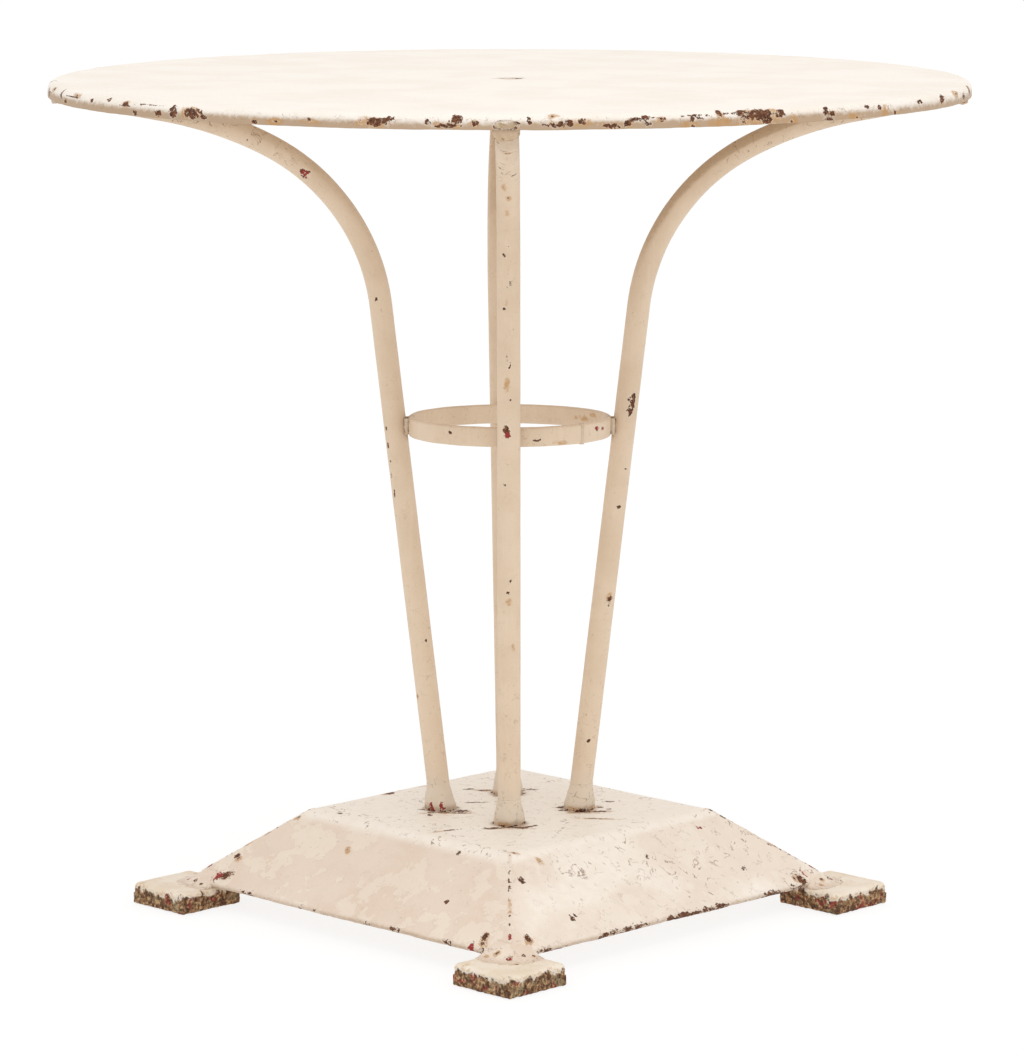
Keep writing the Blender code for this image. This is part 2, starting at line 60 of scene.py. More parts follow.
class Wire:
    # one socket of a node tree, so that sums of sockets read as plain sums
    def __init__(self, tree, socket=None):
        self.tree = tree
        self.socket = socket

    def node(self, kind, settings, sockets, output=0):
        made = self.tree.nodes.new(kind)
        for key, value in settings.items():
            setattr(made, key, value)
        for key, value in sockets.items():
            if isinstance(value, Wire):
                self.tree.links.new(value.socket, made.inputs[key])
            else:
                made.inputs[key].default_value = value
        return Wire(self.tree, made.outputs[output])

    def maths(self, operation, first, second=0.0):
        return self.node("ShaderNodeMath", {"operation": operation}, {0: first, 1: second})

    def __add__(self, other):
        return self.maths("ADD", self, other)

    def __sub__(self, other):
        return self.maths("SUBTRACT", self, other)

    def __rsub__(self, other):
        return self.maths("SUBTRACT", other, self)

    def __mul__(self, other):
        return self.maths("MULTIPLY", self, other)

    def __truediv__(self, other):
        return self.maths("DIVIDE", self, other)

    def __rtruediv__(self, other):
        return self.maths("DIVIDE", other, self)

    __radd__ = __add__
    __rmul__ = __mul__

    def most(self, other):
        return self.maths("MAXIMUM", self, other)

    def size(self):
        return self.maths("ABSOLUTE", self)

    def rise(self, low, high):
        # 0 below low, 1 above high, and a smooth step between them
        settings = {"interpolation_type": "SMOOTHSTEP"}
        return self.node("ShaderNodeMapRange", settings, {0: self, 1: low, 2: high})

    def tint(self, under, over, blend="MIX"):
        # two colours mixed by this value
        settings = {"data_type": "RGBA", "blend_type": blend, "clamp_factor": True}
        return self.node("ShaderNodeMix", settings, {0: self, 6: under, 7: over}, 2)

    def noise(self, place, scale, detail=2.0, roughness=0.5, distortion=0.0):
        sockets = {"Scale": scale, "Detail": detail, "Roughness": roughness, "Distortion": distortion}
        return self.node("ShaderNodeTexNoise", {}, {"Vector": place, **sockets})


def shade(red, green, blue):
    # a colour as a paint chart gives it, from 0 to 255, made linear
    parts = [channel / 255 for channel in (red, green, blue)]
    linear = [c / 12.92 if c < 0.04045 else ((c + 0.055) / 1.055) ** 2.4 for c in parts]
    return (*linear, 1.0)


# Paint

wornPaint = {
    "bareSteel": shade(70, 44, 32),
    "oldRust": shade(124, 76, 44),
    "rustStain": shade(188, 140, 82),
    "redPrimer": shade(150, 52, 46),
    "crackDirt": shade(138, 104, 76),
    "paleEdge": shade(252, 243, 230),
}
# how fine each break in the paint is, in features for each metre
fineness = {
    "grain": 900.0, "rust": 520.0, "leftPaint": 470.0, "chipEdge": 330.0, "mottle": 270.0,
    "lumps": 150.0, "chipShape": 115.0, "cloud": 95.0, "speckPatches": 38.0,
}
paintDepth = 0.0012


def startPaint(name):
    # a new material, a bench for its nodes, and the object's own coordinates
    material = bpy.data.materials.new(name)
    material.use_nodes = True
    bench = Wire(material.node_tree)
    return material, bench, bench.node("ShaderNodeTexCoord", {}, {}, 3)


def finishPaint(material, bench, colour, roughness, relief, strength, specular):
    shader = material.node_tree.nodes["Principled BSDF"]
    height = {"Strength": strength, "Distance": paintDepth, "Height": relief}
    bump = bench.node("ShaderNodeBump", {}, height)
    for socket, value in (("Base Color", colour), ("Roughness", roughness), ("Normal", bump)):
        bench.tree.links.new(value.socket, shader.inputs[socket])
    shader.inputs["Specular IOR Level"].default_value = specular
    return material


def agedPaint(name, look):
    material, bench, place = startPaint(name)

    def noiseOf(key, detail, roughness=0.5):
        return bench.noise(place, fineness[key], detail, roughness)

    def field(key):
        return bench.node("ShaderNodeAttribute", {"attribute_name": key}, {}, 2)

    # two tones of paint in soft patches, under brush streaks and fine grain
    patches = bench.noise(place, look["patchScale"], 4.0, 0.55)
    colour = patches.rise(0.38, 0.66).tint(look["tone"], look["secondTone"])
    turned = bench.node(
        "ShaderNodeMapping", {"vector_type": "POINT"},
        {0: place, 2: (0.0, 0.0, look["streakTurn"]), 3: look["streakStretch"]},
    )
    streaks = bench.noise(turned, 1.0, 5.0, 0.6)
    colour = (streaks.rise(0.5, 0.8) * look["streaks"]).tint(colour, look["streakTone"])
    grain = noiseOf("grain", 2.0, 0.6)
    colour = ((grain - 0.5) * 0.4).most(0.0).tint(colour, look["soilingAndShadeTone"])

    # an older coat shows in flat patches, with broken edges, where the last one has flaked
    cloud = noiseOf("cloud", 4.0, 0.6)
    coat = bench.noise(place, look["flakeScale"], 7.0, 0.62)
    flaked = coat.rise(look["flakeFrom"], look["flakeFrom"] + 0.010)
    flakeEdge = 1.0 - (coat - look["flakeFrom"]).size().rise(0.0, 0.007)
    colour = (flaked * look["flakes"]).tint(colour, look["flakeTone"])
    flakeEdge = flakeEdge * cloud.rise(0.46, 0.58) * look["flakes"]
    colour = (flakeEdge * 0.55).tint(colour, look["soilingAndShadeTone"])
    # faded, chalky paint; on the base this is painted light on the plate and the front right side
    colour = (field("fade") * (cloud * 1.2 + 0.4)).tint(colour, look["fadeTone"])

    # dirt darkens the paint where the piece's own field says so; on the top's underside and on the legs
    # just under the top this darkening is painted shade
    mottle = noiseOf("mottle", 3.0, 0.6)
    soilingAndShadeShare = (field("grime") * (cloud * 0.7 + (mottle - 0.5) * 1.2 + 0.65)).rise(0.05, 1.15)
    specks = mottle.rise(0.66, 0.72) * noiseOf("speckPatches", 2.0).rise(0.48, 0.62) * look["specks"]
    colour = (soilingAndShadeShare * look["soilingAndShadeShare"]).tint(colour, look["soilingAndShadeTone"])
    colour = specks.tint(colour, wornPaint["crackDirt"])

    # thin curved cracks, broken into short dashes
    wander = bench.noise(place, look["crackScale"], 3.0, 0.55, 0.5)
    runs = bench.noise(place, look["crackScale"] * 1.3, 2.0, 0.5)
    runs = runs.rise(look["crackFrom"], look["crackFrom"] + 0.05)
    cracks = (1.0 - (wander - 0.5).size().rise(0.0, look["crackWidth"])) * runs
    cracks = cracks * field("crackle") * look["cracks"]
    colour = cracks.tint(colour, wornPaint["crackDirt"])

    # chips: a field from the listed marks, with its outline broken up by noise
    ragged = (noiseOf("chipEdge", 4.0, 0.7) - 0.5) * 3.4 + (noiseOf("chipShape", 2.0) - 0.5) * 2.6
    outline = field("chip") + ragged
    left = noiseOf("leftPaint", 3.0, 0.6).rise(0.60, 0.65)
    chipped = outline.rise(0.0, 0.10) * (1.0 - left * 0.75)
    lip = outline.rise(-0.42, -0.06) * (1.0 - chipped)
    halo = (field("stain") + (cloud - 0.5) * 2.2 + (mottle - 0.5) * 1.6).rise(0.35, 1.2)
    colour = (halo * 0.80).tint(colour, wornPaint["rustStain"])
    colour = (lip * 0.25).tint(colour, wornPaint["paleEdge"])
    rust = noiseOf("rust", 4.0, 0.7)
    metal = rust.rise(0.40, 0.62).tint(wornPaint["bareSteel"], wornPaint["oldRust"])
    metal = (field("primer") + (rust - 0.5) * 1.6).rise(0.35, 0.6).tint(metal, wornPaint["redPrimer"])
    colour = chipped.tint(colour, metal)

    # relief: the paint's thickness, its cracks and its brush marks
    relief = (1.0 - chipped) * 0.35 + streaks * look["brushRelief"] + grain * 0.05 - cracks * 0.08
    relief = relief + noiseOf("lumps", 3.0, 0.55) * look["lumps"] + rust * chipped * 0.12
    relief = relief - flaked * look["flakes"] * 0.10
    roughness = chipped * 0.30 + grain * 0.10 + (look["roughness"] - 0.05) + soilingAndShadeShare * 0.08
    return finishPaint(material, bench, colour, roughness, relief, 0.55, 0.35)


def padPaint():
    # cream paint on top, worn off the sides down to rust, primer and grey-green dirt
    material, bench, place = startPaint("padPaint")
    height = bench.node("ShaderNodeSeparateXYZ", {}, {0: place}, 2)
    large = bench.noise(place, 75.0, 4.0, 0.6)
    middling = bench.noise(place, 190.0, 4.0, 0.62)
    fine = bench.noise(place, 380.0, 4.0, 0.65)
    patch = bench.noise(place, 120.0, 3.0, 0.5, 0.6)
    colour = middling.rise(0.38, 0.60).tint(shade(92, 62, 42), shade(142, 106, 72))
    colour = (large.rise(0.48, 0.60) * 0.8).tint(colour, shade(140, 122, 92))
    colour = (patch.rise(0.57, 0.61) * 0.9).tint(colour, shade(134, 56, 46))
    dusty = fine.rise(0.52, 0.66) * middling.rise(0.44, 0.56)
    colour = (dusty * 0.8).tint(colour, shade(202, 170, 128))
    colour = ((1.0 - fine.rise(0.40, 0.47)) * 0.8).tint(colour, shade(60, 38, 28))
    cream = bench.noise(place, 34.0, 4.0, 0.6).rise(0.35, 0.65)
    cream = cream.tint(shade(238, 226, 209), shade(228, 211, 188))
    cream = (fine.rise(0.56, 0.8) * 0.25).tint(cream, shade(180, 150, 118))
    # the paint thins over the edge: cream, then a worn ochre line, then a pale grey band
    level = height + (middling - 0.5) * 0.012 + (large - 0.5) * 0.018
    grey = (1.0 - height.rise(0.0150, 0.0175)) * 0.55
    cream = grey.tint(cream, shade(206, 196, 180))
    ochre = (1.0 - (level - 0.0172).size().rise(0.0004, 0.0018)) * middling.rise(0.48, 0.60)
    cream = (ochre * 0.6).tint(cream, shade(196, 150, 90))
    painted = level.rise(0.0130, 0.0158)
    colour = painted.tint(colour, cream)
    relief = painted * 0.2 + (middling * 0.5 + fine * 0.35) * (1.0 - painted * 0.7)
    roughness = 0.85 - painted * 0.3 + (fine - 0.5) * 0.1
    return finishPaint(material, bench, colour, roughness, relief, 0.7, 0.3)


# Wear, placed one by one

markKinds = {
    # how much of the paint is gone, how far rust has stained it, how much primer shows
    "bare": (1.0, 0.45, 0.0),
    "rust": (1.0, 1.0, 0.2),
    "primer": (1.0, 0.3, 1.0),
    "stain": (0.30, 1.0, 0.0),
    "ochre": (-0.9, 0.88, 0.0),
    "hair": (0.20, 0.62, 0.0),
}
# how far a stain runs past its mark, how far off the skin a mark may be before it is
# moved onto it, and the chip field where the paint is sound
stainReach = 0.003
markSlack = 0.0012
soundPaint = -1.7


def wearPaint(mesh, marks, **fields):
    # writes the fields that the paint reads: chip, stain and primer from the marks, and the
    # piece's own wear (how close the plain paint is to chipping), dirt with painted shade, fade with
    # painted light, and crackle.
    # Each is one number for the whole piece, or one for every point.
    points = pointsOf(mesh)
    count = len(points)
    values = {key: np.broadcast_to(given, count) for key, given in fields.items()}
    chip = values.pop("wear", np.full(count, soundPaint))
    stain = np.full(count, -1.0)
    primer = np.zeros(count)
    for centre, along, halfLong, halfShort, kind in marks:
        bareness, staining, priming = markKinds[kind]
        offset = points - np.array(centre)
        nearest = offset[np.argmin(np.linalg.norm(offset, axis=1))]
        if np.linalg.norm(nearest) > markSlack:
            offset = offset - nearest
        run = offset @ np.array(along)
        aside = np.linalg.norm(offset - np.outer(run, along), axis=1)
        reach = np.hypot(run / halfLong, aside / halfShort)
        beyond = (reach - 1.0) * min(halfLong, halfShort) / stainReach
        chip = np.maximum(chip, bareness - reach)
        stain = np.maximum(stain, staining * (1.0 - np.clip(beyond, 0.0, 2.0)) + staining - 1.0)
        primer = np.maximum(primer, priming * np.clip(1.6 - reach, 0.0, 1.0))
    values.update({"chip": chip, "stain": stain, "primer": primer})
    for key, given in values.items():
        layer = mesh.attributes.new(key, "FLOAT", "POINT")
        layer.data.foreach_set("value", np.ascontiguousarray(given, np.float32))
    return chip


def pointsOf(mesh):
    flat = np.empty(len(mesh.vertices) * 3, np.float32)
    mesh.vertices.foreach_get("co", flat)
    return flat.reshape(-1, 3).astype(float)


def normalsOf(mesh):
    flat = np.empty(len(mesh.vertices) * 3, np.float32)
    mesh.vertex_normals.foreach_get("vector", flat)
    return flat.reshape(-1, 3).astype(float)


def movePoints(mesh, points):
    mesh.vertices.foreach_set("co", np.ascontiguousarray(points, np.float32).ravel())
    mesh.update()


def swellSkin(mesh, rise):
    # moves each point of a skin outwards by its own amount
    movePoints(mesh, pointsOf(mesh) + normalsOf(mesh) * rise[:, None])


def lumps(points, size, seed):
    # soft noise from -1 to 1, with features of about this size
    shift = Vector((seed * 3.7, seed * 1.3, seed * 7.9))
    return np.array([noise.noise(Vector(point) / size + shift) for point in points])


def rising(values, low, high):
    share = np.clip((values - low) / (high - low), 0.0, 1.0)
    return share * share * (3.0 - 2.0 * share)


def falling(values, low, high):
    return 1.0 - rising(values, low, high)


def heading(direction):
    # the outward and the sideways direction, so many degrees round the table
    angle = math.radians(direction)
    outward = Vector((math.cos(angle), math.sin(angle), 0.0))
    return outward, Vector((-outward.y, outward.x, 0.0))


def nodeFrame(node):
    # a node's middle and half its size, and the outward and sideways directions there
    low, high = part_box(node)
    middle = (low + high) / 2
    outward = Vector((middle.x, middle.y, 0.0)).normalized()
    return middle, (high - low) / 2, outward, Vector((-outward.y, outward.x, 0.0))


def nodeSizes(settings):
    # the entries of a piece's dictionary that name an input of its node tree
    return {key: value for key, value in settings.items() if key[0].isupper()}


# Finishing

def makePiece(name, mesh, material):
    piece = bpy.data.objects.new(name, mesh)
    bpy.context.scene.collection.objects.link(piece)
    mesh.materials.clear()
    mesh.materials.append(material)
    return piece


def smoothSkin(mesh):
    # faces outwards and shaded smooth
    bm = bmesh.new()
    bm.from_mesh(mesh)
    bmesh.ops.remove_doubles(bm, verts=bm.verts, dist=1e-6)
    bmesh.ops.recalc_face_normals(bm, faces=bm.faces)
    bm.to_mesh(mesh)
    bm.free()
    mesh.shade_smooth()


def handOver(piece, slot, *nodes):
    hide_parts(*nodes)
    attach(piece, "root")


def gridMesh(name, rows, capped=False):
    # rows of points, each row a closed loop; the rows close on each other unless they are capped
    rows = np.asarray(rows)
    count, across = rows.shape[:2]
    faces = []
    for row in range(count - 1 if capped else count):
        start = row * across
        after = ((row + 1) % count) * across
        for i in range(across):
            j = (i + 1) % across
            faces.append((start + i, after + i, after + j, start + j))
    if capped:
        faces.append(tuple(range(across)))
        faces.append(tuple(reversed(range((count - 1) * across, count * across))))
    mesh = bpy.data.meshes.new(name)
    mesh.from_pydata(rows.reshape(-1, 3).tolist(), [], faces)
    smoothSkin(mesh)
    return mesh


def bendPoints(centre, radius, start, finish, steps):
    # points of (across, up) on an arc, by angles in degrees
    spots = []
    for step in range(steps + 1):
        angle = math.radians(start + (finish - start) * step / steps)
        spots.append((centre[0] + radius * math.cos(angle), centre[1] + radius * math.sin(angle)))
    return spots


# Geometry nodes for tubes, bars and weld beads

def startTree(name, sizes):
    tree = bpy.data.node_groups.new(name, "GeometryNodeTree")
    tree.interface.new_socket("Geometry", in_out="INPUT", socket_type="NodeSocketGeometry")
    for key, value in sizes.items():
        kind = "NodeSocketInt" if isinstance(value, int) else "NodeSocketFloat"
        tree.interface.new_socket(key, in_out="INPUT", socket_type=kind).default_value = value
    tree.interface.new_socket("Material", in_out="INPUT", socket_type="NodeSocketMaterial")
    tree.interface.new_socket("Geometry", in_out="OUTPUT", socket_type="NodeSocketGeometry")
    given = tree.nodes.new("NodeGroupInput")
    inputs = {socket.name: Wire(tree, socket) for socket in given.outputs if socket.name}
    return tree, inputs


def sweptTree(name, flatBar=False):
    # sweeps a round or a flat section along a path of edges, then lets the skin swell a little
    sizes = {
        "Radius": 0.01, "Step": 0.002, "Sides": 40,
        "Width": 0.017, "Thickness": 0.005, "Edge": 0.0014,
        "Ripple Pitch": 0.0, "Ripple Depth": 0.0, "Swelling": 0.0002, "Swelling Size": 0.02, "Seed": 1,
    }
    tree, size = startTree(name, sizes)
    bench = Wire(tree)
    path = bench.node("GeometryNodeMeshToCurve", {}, {0: size["Geometry"]})
    path = bench.node("GeometryNodeResampleCurve", {"mode": "LENGTH"}, {0: path, "Length": size["Step"]})
    share = bench.node("GeometryNodeInputNamedAttribute", {"data_type": "FLOAT"}, {0: "share"})
    if flatBar:
        path = bench.node("GeometryNodeSetCurveNormal", {"mode": "Z_UP"}, {0: path})
        section = bench.node(
            "GeometryNodeCurvePrimitiveQuadrilateral", {}, {0: size["Thickness"], 1: size["Width"]}
        )
        section = bench.node(
            "GeometryNodeFilletCurve", {"mode": "POLY"},
            {"Curve": section, "Count": 4, "Radius": size["Edge"]},
        )
        section = bench.node(
            "GeometryNodeResampleCurve", {"mode": "COUNT"}, {0: section, "Count": size["Sides"]}
        )
    else:
        travelled = bench.node("GeometryNodeSplineParameter", {}, {}, 1)
        wave = bench.maths("SINE", travelled / size["Ripple Pitch"] * math.tau)
        path = bench.node(
            "GeometryNodeSetCurveRadius", {},
            {0: path, "Radius": share * (wave * size["Ripple Depth"] + 1.0)},
        )
        section = bench.node(
            "GeometryNodeCurvePrimitiveCircle", {}, {"Resolution": size["Sides"], "Radius": size["Radius"]}
        )
    skin = bench.node("GeometryNodeCurveToMesh", {}, {0: path, 1: section, "Fill Caps": True})
    spot = bench.node("GeometryNodeInputPosition", {}, {})
    facing = bench.node("GeometryNodeInputNormal", {}, {})
    cloud = bench.node(
        "ShaderNodeTexNoise", {"noise_dimensions": "4D"},
        {"Vector": spot, "W": size["Seed"] * 1.7, "Scale": 1.0 / size["Swelling Size"], "Detail": 2.0},
    )
    offset = bench.node(
        "ShaderNodeVectorMath", {"operation": "SCALE"},
        {0: facing, "Scale": (cloud - 0.5) * size["Swelling"] * 2.0},
    )
    skin = bench.node("GeometryNodeSetPosition", {}, {0: skin, "Offset": offset})
    skin = bench.node("GeometryNodeSetShadeSmooth", {}, {0: skin})
    skin = bench.node("GeometryNodeRealizeInstances", {}, {0: skin})
    skin = bench.node("GeometryNodeSetMaterial", {}, {0: skin, "Material": size["Material"]})
    out = tree.nodes.new("NodeGroupOutput")
    tree.links.new(skin.socket, out.inputs[0])
    return tree


def sweep(name, tree, points, sizes, material, shares=None, closed=False):
    # runs a tree along a path and returns the plain mesh piece
    edges = [(i, i + 1) for i in range(len(points) - 1)]
    if closed:
        edges.append((len(points) - 1, 0))
    mesh = bpy.data.meshes.new(name)
    mesh.from_pydata([tuple(point) for point in points], edges, [])
    layer = mesh.attributes.new("share", "FLOAT", "POINT")
    layer.data.foreach_set("value", shares or [1.0] * len(points))
    piece = makePiece(name, mesh, material)
    modifier = piece.modifiers.new(tree.name, "NODES")
    modifier.node_group = tree
    for item in tree.interface.items_tree:
        if item.in_out == "INPUT" and item.name in sizes:
            modifier[item.identifier] = sizes[item.name]
        if item.in_out == "INPUT" and item.name == "Material":
            modifier[item.identifier] = material
    bpy.context.view_layer.update()
    evaluated = piece.evaluated_get(bpy.context.evaluated_depsgraph_get())
    made = bpy.data.meshes.new_from_object(evaluated)
    piece.modifiers.remove(modifier)
    piece.data = made
    made.name = name
    smoothSkin(made)
    return piece


tubeTree = sweptTree("sweptTube")
barTree = sweptTree("sweptBar", flatBar=True)


# The materials

flatLook = {
    "tone": shade(236, 222, 204), "secondTone": shade(232, 214, 194), "streakTone": shade(246, 236, 222),
    "soilingAndShadeTone": shade(168, 136, 100), "fadeTone": shade(219, 205, 187), "flakeTone": shade(244, 236, 224),
    "patchScale": 14.0, "streaks": 0.35, "streakTurn": math.radians(45),
    "streakStretch": (6.0, 160.0, 160.0), "soilingAndShadeShare": 0.6, "specks": 0.25, "cracks": 0.8, "crackScale": 90.0,
    "crackWidth": 0.016, "crackFrom": 0.50, "brushRelief": 0.05, "lumps": 0.05, "roughness": 0.5,
    "flakes": 0.0, "flakeScale": 26.0, "flakeFrom": 0.53,
}
looks = {
    "topPaint": {
        "tone": shade(244, 236, 226), "secondTone": shade(240, 230, 217),
        "streakTone": shade(249, 244, 238), "specks": 0.15, "soilingAndShadeShare": 0.85, "crackFrom": 0.47,
        "crackScale": 110.0,
    },
    "legPaint": {
        "tone": shade(224, 202, 176), "secondTone": shade(218, 195, 168),
        "streakTone": shade(232, 213, 190), "streakTurn": 0.0, "streakStretch": (160.0, 160.0, 8.0),
        "patchScale": 22.0, "specks": 0.5,
    },
    "weldPaint": {
        "tone": shade(222, 204, 180), "secondTone": shade(206, 188, 162), "streaks": 0.1, "specks": 0.8,
        "patchScale": 60.0, "crackScale": 160.0, "lumps": 0.25,
    },
    "plugPaint": {
        "tone": shade(196, 174, 136), "secondTone": shade(180, 156, 116),
        "soilingAndShadeTone": shade(120, 96, 68), "patchScale": 120.0, "streaks": 0.0, "lumps": 0.3, "specks": 0.8,
    },
    "basePaint": {
        "tone": shade(232, 214, 197), "secondTone": shade(227, 207, 188),
        "streakTone": shade(239, 228, 214), "streaks": 0.25, "streakStretch": (20.0, 60.0, 60.0),
        "patchScale": 18.0, "specks": 0.5, "crackScale": 75.0, "crackFrom": 0.51, "lumps": 0.10,
        "flakes": 0.40, "flakeTone": shade(242, 231, 214), "flakeScale": 34.0,
        # the lighter tone that paints light onto the plate and the front right side
        "fadeTone": shade(245, 236, 224), "cracks": 0.95, "crackWidth": 0.021,
    },
}
paints = {name: agedPaint(name, {**flatLook, **look}) for name, look in looks.items()}
paints["padPaint"] = padPaint()
print("paints mixed")


# Table top: one sheet spun round the axis, with its edge turned down

topLow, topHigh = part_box("table_top")
top = {
    "steps": 1500, "rounding": 0.0065, "sheet": 0.002, "edgeRounding": 0.0009,
    "dishRadius": 0.012, "drainRadius": 0.005, "dishDepth": 0.0022,
    "edgeRipple": 0.0003, "chipDepth": 0.0003, "chipSwelling": 1.3,
}
# the rings of faces that the sheet is spun from: over the disk, towards the rim, and underneath
diskRings = (0.30, 0.24, 0.18, 0.12, 0.08, 0.055, 0.04, 0.03, 0.024, 0.020, 0.017, 0.0145, 0.0128)
rimRings = (0.34, 0.36, 0.375, 0.384, 0.389)
underRings = (0.36, 0.2, 0.06)

# chips round the rim: degrees round from the front leg, height above the lower edge,
# width and height in millimetres, and kind
rimChips = [
    (-86, 9, 6, 9, "rust"), (-80, 6, 5, 6, "bare"), (-76, 11, 7, 3, "rust"), (-71, 9, 4, 7, "bare"),
    (-69, 4, 6, 3, "rust"), (-65, 11, 8, 2.5, "stain"), (-60, 8.5, 4, 3, "bare"),
    (-56, 12, 5, 3, "bare"), (-52, 10, 4, 3, "rust"), (-50, 3, 4, 3, "bare"),
    (-47, 11, 16, 1.2, "bare"), (-45.5, 4, 5, 4, "rust"), (-43, 6, 7, 7, "bare"),
    (-40, 7, 14, 7, "rust"), (-38, 4, 5, 3, "bare"), (-30.5, 2.5, 5, 2.5, "rust"),
    (-28, 4, 7, 3, "stain"), (-23.5, 6, 3.5, 3, "bare"), (-15.3, 6, 18, 5, "rust"),
    (-14, 8, 8, 4, "bare"), (-9.3, 6.6, 3, 3, "bare"), (-7.2, 3.6, 13, 2.4, "rust"),
    (-6, 9.2, 7, 5.5, "bare"), (-3.9, 5.4, 3.6, 3.6, "rust"), (2.2, 9.4, 2.6, 2.4, "bare"),
    (2.3, 6.6, 2.4, 2.4, "bare"), (4, 4.6, 5, 1.8, "bare"), (4.9, 11.6, 4, 2, "rust"),
    (5.8, 5.2, 4.5, 3.2, "bare"), (6.9, 6.4, 4.5, 3, "bare"), (8.6, 5.8, 4, 3, "stain"),
    (12.1, 3.2, 4, 2.6, "bare"), (13.6, 4.6, 4, 3, "rust"), (15.5, 9.2, 5, 3, "bare"),
    (16, 4.3, 4, 3, "bare"), (17.7, 7.2, 4, 3, "rust"), (21.3, 8, 4, 4, "bare"),
    (21.3, 1, 3, 3, "bare"), (22.2, 8.6, 5, 3, "bare"), (24.7, 11, 3, 6, "rust"),
    (27.8, 12, 7, 3, "rust"), (30.2, 8.4, 27, 9, "rust"), (31, 4, 12, 5, "bare"),
    (32.9, 8.3, 5, 4, "bare"), (34.4, 1.8, 6, 3, "stain"), (40.2, 1.4, 6, 3, "bare"),
    (40.7, 6.5, 4, 3, "rust"), (45, 1.4, 7, 3, "stain"), (49, 8, 6, 3, "bare"),
    (52.2, 2.2, 7, 4, "stain"), (58, 9, 5, 3, "bare"), (64.6, 7, 7, 5, "rust"),
    (70, 10, 10, 4, "stain"), (74, 6, 6, 5, "rust"), (79, 9, 8, 6, "rust"), (84, 4, 6, 5, "bare"),
    (88, 8, 7, 6, "rust"), (96, 6, 9, 5, "rust"), (104, 9, 12, 4, "bare"), (113, 4, 5, 4, "rust"),
    (121, 8, 16, 6, "rust"), (124, 3, 6, 3, "bare"), (133, 10, 4, 3, "bare"), (142, 6, 8, 5, "rust"),
    (149, 9, 22, 7, "rust"), (151, 4, 9, 4, "bare"), (160, 5, 4, 4, "bare"), (168, 11, 7, 2.5, "rust"),
    (177, 3, 5, 3, "stain"), (184, 7, 13, 6, "rust"), (193, 5, 5, 3, "bare"), (199, 10, 9, 4, "bare"),
    (207, 3, 7, 4, "rust"), (214, 8, 18, 6, "rust"), (217, 11, 8, 2.5, "bare"), (226, 5, 4, 4, "stain"),
    (235, 8, 10, 6, "rust"), (243, 4, 6, 4, "bare"), (250, 10, 9, 3, "rust"), (259, 7, 7, 7, "bare"),
    (266, 5, 8, 5, "rust"), (-7.2, 3.5, 12, 4, "ochre"), (6.6, 5, 22, 4, "ochre"),
    (12, 3.5, 14, 4, "ochre"), (21, 2.5, 12, 4, "ochre"), (28, 3.5, 44, 5, "ochre"),
    (33.8, 5, 12, 6, "ochre"), (44, 2.5, 14, 4, "ochre"), (50, 5, 10, 7, "ochre"),
    (22, 10, 18, 2, "bare"), (26, 11, 8, 2.4, "bare"), (28.6, 10.6, 12, 3, "bare"),
    (31.4, 8, 10, 5, "bare"), (5.2, 4, 8, 3, "bare"), (8.2, 7, 5, 3, "rust"), (11.2, 3.4, 8, 3, "bare"),
    (14.4, 8, 7, 3, "bare"), (39.6, 9, 5, 5, "bare"), (46.8, 10, 6, 3, "bare"),
    (150, 4, 30, 5, "ochre"), (215, 4, 36, 5, "ochre"), (-66, 9.2, 44, 0.9, "bare"),
    (-52, 8.4, 14, 0.9, "bare"), (15, 9.6, 26, 0.9, "bare"), (-78, 7, 12, 1, "bare"),
    (-23.5, 4.5, 9, 3, "ochre"), (-15, 6, 18, 6, "ochre"), (-28, 3, 7, 4, "ochre"),
]


def topProfile():
    edge = topHigh.x
    high = topHigh.z
    low = topLow.z
    under = high - top["sheet"]
    inside = edge - top["sheet"]
    turn = (edge - top["rounding"], high - top["rounding"])
    profile = [(top["drainRadius"], high - top["dishDepth"])]
    for step in range(1, 6):
        share = step / 6
        across = top["drainRadius"] + (top["dishRadius"] - top["drainRadius"]) * share
        profile.append((across, high - top["dishDepth"] * (1 - share) ** 1.6))
    profile += [(radius, high) for radius in reversed(diskRings)]
    profile += [(radius, high) for radius in rimRings]
    profile += bendPoints(turn, top["rounding"], 90, 0, 9)
    rounding = top["edgeRounding"]
    drop = (turn[1] - low - rounding) / 6
    profile += [(edge, turn[1] - drop * step) for step in range(1, 6)]
    profile += bendPoints((edge - rounding, low + rounding), rounding, 0, -180, 5)
    profile += [(inside, low + 0.004)]
    profile += bendPoints(turn, top["rounding"] - top["sheet"], 0, 90, 4)
    profile += [(radius, under) for radius in underRings]
    profile += [(top["dishRadius"], under)]
    profile += [(top["drainRadius"], under - top["dishDepth"])]
    return profile


def rimMark(around, height, wide, tall, kind):
    # a mark on the rim, from its place in degrees and millimetres
    angle = math.radians(around - 45)
    rise = height / 1000
    edge = topHigh.x
    spot = topLow.z + rise
    over = spot - (topHigh.z - top["rounding"])
    if over > 0:
        edge -= top["rounding"] - math.sqrt(max(top["rounding"] ** 2 - over ** 2, 0.0))
    centre = (edge * math.cos(angle), edge * math.sin(angle), spot)
    along = (-math.sin(angle), math.cos(angle), 0.0)
    swelling = top["chipSwelling"]
    return centre, along, wide / 2000 * swelling, tall / 2000 * swelling, kind


plug = {"sides": 48, "rings": 8, "crown": 0.00035, "lumps": 0.00018, "sink": 0.0011, "depth": 0.0025}


def plugFrame(corner):
    # a plug weld's middle, its outward and sideways directions, and its half width and height
    middle, half, outward, sideways = nodeFrame("rim_plug_weld_" + corner)
    return middle, outward, sideways, math.hypot(half.x, half.y), half.z


